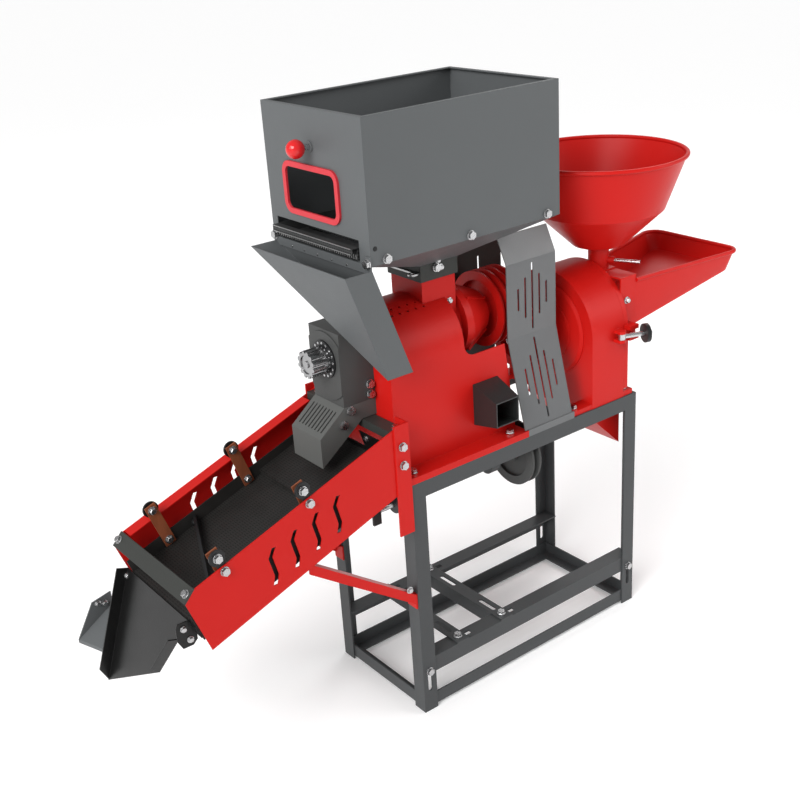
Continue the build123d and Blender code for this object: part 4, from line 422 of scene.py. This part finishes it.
finishOf = {
    "redEnamel": "mill_cover mill_base mill_pulley feed_casting inlet_block crusher_casing crusher_housing "
                 "crusher_door crusher_pulley crusher_outlet feed_throat feed_tray funnel_hopper "
                 "trough_near_panel trough_far_panel trough_brackets trough_strut",
    "greyCoat": "grain_hopper debris_chute side_chute",
    "guardCoat": "belt_guard",
    "hoodCoat": "outlet_hood",
    # the outlet head's darker grey is painted shade
    "headShadeAndPulleyCoat": "outlet_head drive_pulley",
    "barCoatAndGuardShade": "trough_bars gate_box",
    "ductCoat": "bran_duct",
    "chuteCoat": "end_chute",
    "standCoat": "stand_legs stand_top_frame stand_base_ring motor_rails motor_bars pillow_blocks",
    "blackCoat": "deflector_bar index_ring spring_discs hand_nut",
    "deckPlate": "screen_tray",
    "sievePlate": "hopper_sieve",
    "framePlastic": "window_frame",
    "ballPlastic": "ball_knob",
    "bareSteel": "rice_screen crusher_screen feed_gate",
    "turnedSteel": "mill_shaft crusher_shaft drive_shaft shaft_bearings shutter_rod swing_bolt lock_screw",
    "brightPlate": "stand_bolts machine_bolts",
    "knobChrome": "pressure_knob",
    "castIron": "milling_rotor crusher_rotor pressure_plug",
    "springBoard": "leaf_springs_near leaf_springs_far",
}
for key, names in finishOf.items():
    for name in names.split():
        node = nodes[name]
        if not node.data.materials:
            node.data.materials.append(finishes[key])
        for holder in node.material_slots:
            holder.material = finishes[key]
print("solids painted")


# ---- woven sheet over the screen tray

troughZero = 471.7  # height of the trough's own zero line


def onTrough(u, y, w):
    # a point given along, across and above the trough, in the machine's own directions
    x = u * math.cos(slope) - w * math.sin(slope)
    z = troughZero + u * math.sin(slope) + w * math.cos(slope)
    return x, y, z


screenCloth = {
    "low": -423.0, "high": -148.0, "near": 13.0, "far": 225.0, "seat": 48.25, "thick": 0.5, "wave": 0.3,
    "pitch": 8.0, "pointsPerPitch": 4.0,
}


def makeScreenCloth(s):
    # top height = seat + thickness + wave * sine along * sine across; the underside is the plain slope
    steps = s["pointsPerPitch"] / s["pitch"]
    u = np.linspace(s["low"], s["high"], int((s["high"] - s["low"]) * steps) + 1)
    y = np.linspace(s["near"], s["far"], int((s["far"] - s["near"]) * steps) + 1)
    uu, yy = np.meshgrid(u, y, indexing="ij")
    turn = 2 * math.pi / s["pitch"]
    rise = s["seat"] + s["thick"] + s["wave"] * np.sin(uu * turn) * np.sin(yy * turn)
    top = place(np.stack(onTrough(uu, yy, rise), -1))
    under = place(np.stack(onTrough(uu, yy, np.full_like(uu, s["seat"])), -1))
    verts, faces = sheetShape(top, under)
    return addMesh("screen_cloth", verts, faces, finishes["deckPlate"], "shaker")


trayEnd = {
    "u": -13.0, "thick": 1.5, "near": 12.5, "far": 225.5, "low": 56.2, "top": 102.0, "corner": 10.0,
    "gapMiddle": 127.0, "gapHalf": 50.0, "gapTop": 66.0, "rows": 6, "columns": 86,
}


def makeTrayEnd(s):
    # a plate across the tray's high end; its top edge falls to the sides by a quarter of a circle, and is low
    # under the outlet hood
    y = np.linspace(s["near"], s["far"], s["columns"])
    edge = np.clip(np.minimum(y - s["near"], s["far"] - y) / s["corner"], 0, 1)
    height = s["top"] - s["corner"] * (1 - np.sqrt(1 - (1 - edge) ** 2))
    height = np.where(abs(y - s["gapMiddle"]) < s["gapHalf"], s["gapTop"], height)
    share = np.linspace(0, 1, s["rows"])[:, None]
    w = s["low"] + share * (height - s["low"])
    yy = np.broadcast_to(y, w.shape)
    layers = [np.stack(onTrough(np.full_like(w, s["u"] + step), yy, w), -1) for step in (0, s["thick"])]
    verts, faces = sheetShape(*map(place, layers))
    return addMesh("tray_end_plate", verts, faces, finishes["chuteCoat"], "shaker")


makeScreenCloth(screenCloth)
makeTrayEnd(trayEnd)
print("screen cloth and tray end made")


# ---- feed tray with rounded corners and a rolled rim

feedTray = {
    "front": 575.0, "rear": 855.0, "frontNear": 22.0, "frontFar": 150.0, "rearNear": -3.0, "rearFar": 232.0,
    "rimZ": 688.0, "frontZ": 602.0, "rearZ": 652.0, "inset": 16.0, "rearInset": 7.0, "corner": 27.0,
    "floorCorner": 22.0, "sheet": 2.0, "rim": 4.0, "wallRows": 7, "floorColumns": 9,
}


def makeFeedTray(s):
    # each wall point goes straight from the floor's outline to the rim's, and the floor is ruled between its
    # two sides
    def outlines(gap):
        floorRear = s["rear"] - s["rearInset"] - gap
        rimRear = s["rear"] - gap
        frontNear, frontFar = (s["front"], s["frontNear"] + gap), (s["front"], s["frontFar"] - gap)
        rearNear, rearFar = s["rearNear"] + gap, s["rearFar"] - gap
        floor = [frontNear, (floorRear, s["rearNear"] + s["inset"] + gap),
                 (floorRear, s["rearFar"] - s["inset"] - gap), frontFar]
        rim = [frontNear, (rimRear, rearNear), (rimRear, rearFar), frontFar]
        floorLine = roundedPath(floor, s["floorCorner"] - gap)
        rimLine = roundedPath(rim, s["corner"] - gap)
        slant = (s["rearZ"] - s["frontZ"]) / (s["rear"] - s["front"])
        floorZ = s["frontZ"] + (floorLine[:, 0] - s["front"]) * slant
        rimZ = np.full(len(floorZ), s["rimZ"])
        return np.column_stack([floorLine, floorZ]), np.column_stack([rimLine, rimZ])

    share = np.linspace(0, 1, s["wallRows"])[:, None, None]
    walls = [place(low + (high - low) * share) for low, high in (outlines(0), outlines(s["sheet"]))]
    low, high = outlines(0)
    half = len(low) // 2
    across = np.linspace(0, 1, s["floorColumns"])[None, :, None]
    under = low[:half, None] + (low[::-1][:half, None] - low[:half, None]) * across
    floor = [place(under), place(under + np.array([0, 0, s["sheet"]]))]
    verts, faces = joinShapes([sheetShape(*walls), sheetShape(*floor), tubeShape(high, s["rim"])])
    piece = addMesh("rounded_feed_tray", verts, faces, finishes["redEnamel"], "door")
    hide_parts("feed_tray")
    return piece


makeFeedTray(feedTray)
print("feed tray made")


# ---- far side of the belt guard

farGuard = {
    "front": 286.0, "rear": 404.0, "sheet": 2.0,
    "path": ((252.0, 484.0), (212.0, 646.0), (212.0, 784.0), (191.0, 829.0)),
    "slotX": 347.0, "pitch": 17.0, "slotWidth": 4.5, "slotShares": (0.3, 0.55, 0.9, 0.55, 0.3),
    "slotMiddle": 688.0, "slotReach": 69.0,
    "footRear": 386.0, "footDepth": 26.0, "footZ": 470.2, "footThick": 3.0,
}


def makeFarGuard(s):
    # a bent sheet whose sideways place follows its height along straight runs, with upright slots cut through
    shares = np.array(s["slotShares"])
    slotX = s["slotX"] + s["pitch"] * (np.arange(len(shares)) - (len(shares) - 1) / 2)
    ends = (s["slotMiddle"] + np.array([-1, 1])[:, None] * s["slotReach"] * shares).ravel()
    pathY, pathZ = np.array(s["path"]).T
    z = np.unique(np.concatenate([pathZ, ends]))
    half = s["slotWidth"] / 2
    x = np.unique(np.concatenate([[s["front"], s["rear"]], slotX - half, slotX + half]))
    midX = (x[1:] + x[:-1])[None, :] / 2
    midZ = (z[1:] + z[:-1])[:, None] / 2
    cut = np.zeros((len(z) - 1, len(x) - 1), bool)
    for slotAt, share in zip(slotX, shares):
        cut |= (abs(midX - slotAt) < half) & (abs(midZ - s["slotMiddle"]) < share * s["slotReach"])
    zz, xx = np.meshgrid(z, x, indexing="ij")
    yy = np.interp(zz, pathZ, pathY)
    outer, inner = [place(np.stack([xx, yy - depth, zz], -1)) for depth in (0, s["sheet"])]
    panel = sheetShape(outer, inner, ~cut)
    low = np.array([[(s["front"], y, z), (s["footRear"], y, z)] for y, z in (
        (s["path"][0][0] - s["footDepth"], s["footZ"]), (s["path"][0][0], s["footZ"]), s["path"][0])])
    foot = sheetShape(place(low), place(low + np.array([0, 0, s["footThick"]])), np.array([[True], [False]]))
    rise = sheetShape(place(low[1:]), place(low[1:] - np.array([0, s["sheet"], 0])))
    verts, faces = joinShapes([panel, foot, rise])
    # the whole sheet takes the dark bar coat instead of the guard's grey: painted shade for the guard's
    # shadowed inside
    return addMesh("far_guard_panel", verts, faces, finishes["barCoatAndGuardShade"], "stand")


makeFarGuard(farGuard)
print("far guard panel made")


# ---- edges and ribs on the sieve's handle

sieveTrim = {
    "x": -68.6, "near": 24.0, "far": 242.0, "strips": (892.4, 883.6), "strip": 0.8,
    "ribX": -58.6, "ribLow": 874.5, "ribTop": 882.0, "rib": 0.7, "ribs": 38, "stripSides": 10, "ribSides": 6,
}


def makeSieveTrim(s):
    # two thin round strips along the handle and a row of short upright ribs under it
    stripRows = [(s["strip"] * milli, 0, 0), (s["strip"] * milli, (s["far"] - s["near"]) * milli, 0)]
    ribRows = [(s["rib"] * milli, 0, 0), (s["rib"] * milli, (s["ribTop"] - s["ribLow"]) * milli, 0)]
    parts = [lathe(place((s["x"], s["near"], z)), (0, 1, 0), stripRows, s["stripSides"]) for z in s["strips"]]
    parts += [lathe(place((s["ribX"], y, s["ribLow"])), (0, 0, 1), ribRows, s["ribSides"])
              for y in np.linspace(s["near"], s["far"], s["ribs"])]
    verts, faces = joinShapes(parts)
    return addMesh("sieve_trim", verts, faces, finishes["bareSteel"], "sieve")


makeSieveTrim(sieveTrim)
print("sieve trim made")


# ---- small fasteners

fasteners = {
    "radius": 6.2, "height": 5.0, "washer": 1.24, "washerTop": 1.14, "washerThick": 1.3, "washerEdge": 0.8,
    "flat": 0.96, "flatLow": 0.9, "flatTop": 1.2, "rise": 0.78, "crown": 0.82, "tip": 0.4, "tipRise": 1.04,
    "studRadius": 4.0, "studHeight": 0.6, "studEdge": 0.6, "studTop": 0.8, "studSides": 20,
}


def boltShape(s, point, direction, radius=0, height=0):
    # a round washer, then a hexagon head with a domed top: rows of radius and height turned about its line
    radius = radius or s["radius"]
    height = height or s["height"]
    base = s["washerThick"]
    washer = [(s["washer"] * radius, 0, 0), (s["washer"] * radius, s["washerEdge"] * base, 0),
              (s["washerTop"] * radius, base, 0)]
    head = [(s["flat"] * radius, s["flatLow"] * base, 1), (radius, s["flatTop"] * base, 1),
            (radius, base + s["rise"] * height, 1), (s["crown"] * radius, base + height, 1),
            (s["tip"] * radius, base + s["tipRise"] * height, 1)]
    scale = np.array([milli, milli, 1])
    start = place(point)
    return joinShapes([lathe(start, direction, np.array(washer) * scale),
                       lathe(start, direction, np.array(head) * scale, corners=6)])


def studShape(s, point, direction, radius=0, height=0):
    # a low round stud with a rounded edge
    radius = radius or s["studRadius"]
    height = height or s["studHeight"]
    rows = np.array([(radius, 0, 0), (radius, s["studEdge"] * height, 0), (s["studTop"] * radius, height, 0)])
    return lathe(place(point), direction, rows * np.array([milli, milli, 1]), s["studSides"])


near = (0, -1, 0)
far = (0, 1, 0)
up = (0, 0, 1)
front = (-1, 0, 0)
downTrough = (-math.cos(slope), 0, -math.sin(slope))
barTilt = math.radians(47.44)
barUp = (-math.sin(barTilt), 0, math.cos(barTilt))
springUs = (-346.0, -176.0)  # places of the leaf springs along the trough
nearLeaf = {"y": 15.6, "heights": (132, 66)}
farLeaf = {"y": 222.4, "heights": (125, 59)}
frontBar = {"u": -412.4, "w": 111.24, "fall": 9.1, "width": 255.0}

# for each piece: its body, its slot, its shape, its own sizes, and a place and a direction for each fastener
fastenerSets = {
    "near_leaf_bolts": ("near_leaves", "chrome", boltShape, {}, [
        (onTrough(u, nearLeaf["y"], w), far) for u in springUs for w in nearLeaf["heights"]]),
    "far_leaf_bolts": ("far_leaves", "chrome", boltShape, {}, [
        (onTrough(u, farLeaf["y"], w), near) for u in springUs for w in farLeaf["heights"]]),
    "front_bar_bolts": ("stand", "chrome", boltShape, {"radius": 5.8}, [
        (onTrough(frontBar["u"], y, frontBar["w"] - frontBar["fall"] * y / frontBar["width"]), barUp)
        for y in (9, 247)]),
    "rear_bar_bolts": ("stand", "chrome", boltShape, {}, [((-13.4, y, 577), up) for y in (15, 241)]),
    "throat_bolts": ("door", "chrome", boltShape, {"radius": 5.5}, [((549.5, 22, 654), near)]),
    "gate_box_bolts": ("stand", "chrome", boltShape, {"radius": 4.6, "height": 3.5}, [
        ((151.9, 81, 801.3), near), ((145.7, 81, 814.7), near)]),
    "inlet_bolt": ("stand", "chrome", boltShape, {"radius": 4.5, "height": 3.5}, [((171, 85, 735.7), near)]),
    "end_chute_bolts": ("shaker", "chrome", boltShape, {"radius": 4.6, "height": 3.6}, [
        ((-430, 29, 371.6), near), ((-421, 29, 349), near), ((-421, 243, 367), near)]),
    "side_chute_bolts": ("shaker", "chrome", boltShape, {"radius": 4.6, "height": 3.6}, [
        ((-461, 297.8, 303), near), ((-449, 297.8, 299), near)]),
    "deflector_bolt": ("shaker", "black_paint", boltShape, {"radius": 5.0, "height": 3.5}, [
        ((-297.6, 219.2, 430), near)]),
    "strut_bolts": ("stand", "chrome", boltShape, {"radius": 5.2, "height": 4.0}, [
        ((-16.3, 2.0, 271.8), near)]),
    # a black disc on the hopper's near face, painted shade where a hole shows the dark inside
    "hopper_hole_shade": ("stand", "black_paint", studShape, {}, [((-46.4, -10.0, 894.9), near)]),
    "chute_rivets": ("stand", "chrome", studShape, {"radius": 2.0}, [
        ((-58.0, y, 860.5), front) for y in (207, 171, 133, 93, 52)]),
    "tray_end_bolt": ("shaker", "chrome", boltShape, {"radius": 4.6, "height": 3.2}, [
        (onTrough(-13.0, 60.0, 90.0), downTrough)]),
}


def makeFasteners(s, sets):
    # each set is one piece that joins all its bolts or studs
    for name, (body, slot, shape, size, spots) in sets.items():
        verts, faces = joinShapes([shape(s, point, direction, **size) for point, direction in spots])
        finish = finishes["brightPlate" if slot == "chrome" else "blackCoat"]
        addMesh(name, verts, faces, finish, body)


makeFasteners(fasteners, fastenerSets)
print("fasteners made")


# ---- index dots on the pressure knob's ring

indexDots = {"centre": (-70.0, 127.0, 685.0), "radius": 28.4, "count": 16, "dot": 2.3, "proud": 0.5}


def makeIndexDots(s):
    # low studs evenly spaced round a circle that faces the screen
    turns = np.linspace(0, 2 * math.pi, s["count"], endpoint=False)
    x, y, z = s["centre"]
    spots = [(x, y + s["radius"] * math.cos(t), z + s["radius"] * math.sin(t)) for t in turns]
    verts, faces = joinShapes([studShape(fasteners, spot, front, s["dot"], s["proud"]) for spot in spots])
    return addMesh("index_dots", verts, faces, finishes["brightPlate"], "stand")


makeIndexDots(indexDots)
print("index dots made")


# ---- studio

studio = {
    "eye": (-1045.8, -1406.7, 1389.8), "azimuth": -36.333, "elevation": 23.46, "roll": -3.815,
    "lens": 52.906, "sensor": 36.0, "reach": 300.0,
    "floorColour": (0.985, 0.985, 0.985), "floorHalf": 90.0, "floorDrop": 0.0005, "floorGlow": 0.1,
    "floorRough": 0.65, "floorGrain": 3.0, "floorSpread": 0.1,
    "backdropRadius": 80.0, "backdropHeight": 70.0, "backdropSides": 64, "backdropGlow": 1.0,
    "world": 0.45, "sun": (-0.82, -0.30, 0.55), "sunPower": 2.75, "sunAngle": 36.0,
    "aim": (180, 120, 550),
    "lamps": {
        "front": {"offset": (-3.2, 0.4, 1.9), "power": 22.0, "size": 2.0},
        "rim": {"offset": (2.8, 1.6, 2.6), "power": 30.0, "size": 1.8},
        "side": {"offset": (2.3, -2.3, 1.3), "power": 32.0, "size": 1.7},
    },
}


def makeCamera(s):
    # back points from the machine to the eye: sine and cosine of the azimuth times the cosine of the
    # elevation, and its sine; right and rise are the level and upright directions turned by the roll
    az = math.radians(s["azimuth"])
    el = math.radians(s["elevation"])
    roll = math.radians(s["roll"])
    back = np.array([math.sin(az) * math.cos(el), -math.cos(az) * math.cos(el), math.sin(el)])
    level = np.cross(-back, [0, 0, 1])
    level = level / np.linalg.norm(level)
    upright = np.cross(level, -back)
    right = math.cos(roll) * level + math.sin(roll) * upright
    rise = -math.sin(roll) * level + math.cos(roll) * upright
    pose = np.eye(4)
    pose[:3] = np.stack([right, rise, back, place(s["eye"])], -1)
    lens = bpy.data.cameras.new("camera")
    lens.lens = s["lens"]
    lens.sensor_width = s["sensor"]
    lens.clip_end = s["reach"]
    camera = bpy.data.objects.new("camera", lens)
    camera.matrix_world = Matrix(pose.tolist())
    bpy.context.scene.collection.objects.link(camera)
    bpy.context.scene.camera = camera


def whiteGlow(finish, strength):
    finish.shader.inputs["Emission Color"].default_value = (1, 1, 1, 1)
    finish.shader.inputs["Emission Strength"].default_value = strength


def stagePiece(name, verts, faces, finish):
    mesh = bpy.data.meshes.new(name)
    mesh.from_pydata(verts, [], faces)
    mesh.materials.append(finish.material)
    piece = bpy.data.objects.new(name, mesh)
    bpy.context.scene.collection.objects.link(piece)
    return piece


def addLight(light, energy, direction, location=(0, 0, 0)):
    # a light that shines against the given direction
    light.energy = energy
    holder = bpy.data.objects.new(light.name, light)
    holder.location = location
    holder.rotation_euler = (-Vector(direction)).to_track_quat("-Z", "Y").to_euler()
    bpy.context.scene.collection.objects.link(holder)


def makeStudio(s):
    ground = Finish("studio_floor", s["floorColour"], Roughness=0.7, Specular_IOR_Level=0.1)
    ground.feed("Roughness", s["floorRough"] + s["floorSpread"] * ground.noise(s["floorGrain"], 2.0))
    whiteGlow(ground, s["floorGlow"])
    half = s["floorHalf"]
    corners = [(x, y, -s["floorDrop"]) for x in (-half, half) for y in (-half, half)]
    stagePiece("studio_floor", corners, [(0, 2, 3, 1)], ground)
    # a round pale backdrop far off, seen only directly, so it adds no light: a ring of points at two heights
    screen = Finish("studio_backdrop", (0, 0, 0), Roughness=1.0, Specular_IOR_Level=0.0)
    whiteGlow(screen, s["backdropGlow"])
    turn = np.linspace(0, 2 * math.pi, s["backdropSides"], endpoint=False)
    ring = s["backdropRadius"] * np.stack([np.cos(turn), np.sin(turn)], -1)
    levels = [np.column_stack([ring, np.full(len(turn), z)]) for z in (-s["floorDrop"], s["backdropHeight"])]
    inwards = [f[::-1] for f in gridFaces(2, len(turn))]
    backdrop = stagePiece("studio_backdrop", np.concatenate(levels).tolist(), inwards, screen)
    backdrop.visible_diffuse = False
    backdrop.visible_glossy = False
    backdrop.visible_shadow = False
    world = bpy.data.worlds.new("studio_world")
    world.use_nodes = True
    sky = world.node_tree.nodes["Background"]
    sky.inputs[0].default_value = (1, 1, 1, 1)
    sky.inputs[1].default_value = s["world"]
    bpy.context.scene.world = world
    sun = bpy.data.lights.new("sun", "SUN")
    sun.angle = math.radians(s["sunAngle"])
    addLight(sun, s["sunPower"], s["sun"])
    middle = Vector(place(s["aim"]).tolist())
    for name, spot in s["lamps"].items():
        lamp = bpy.data.lights.new(name, "AREA")
        lamp.size = spot["size"]
        addLight(lamp, spot["power"], spot["offset"], middle + Vector(spot["offset"]))
    bpy.context.scene.view_settings.view_transform = "Standard"


makeCamera(studio)
makeStudio(studio)
print("studio made")
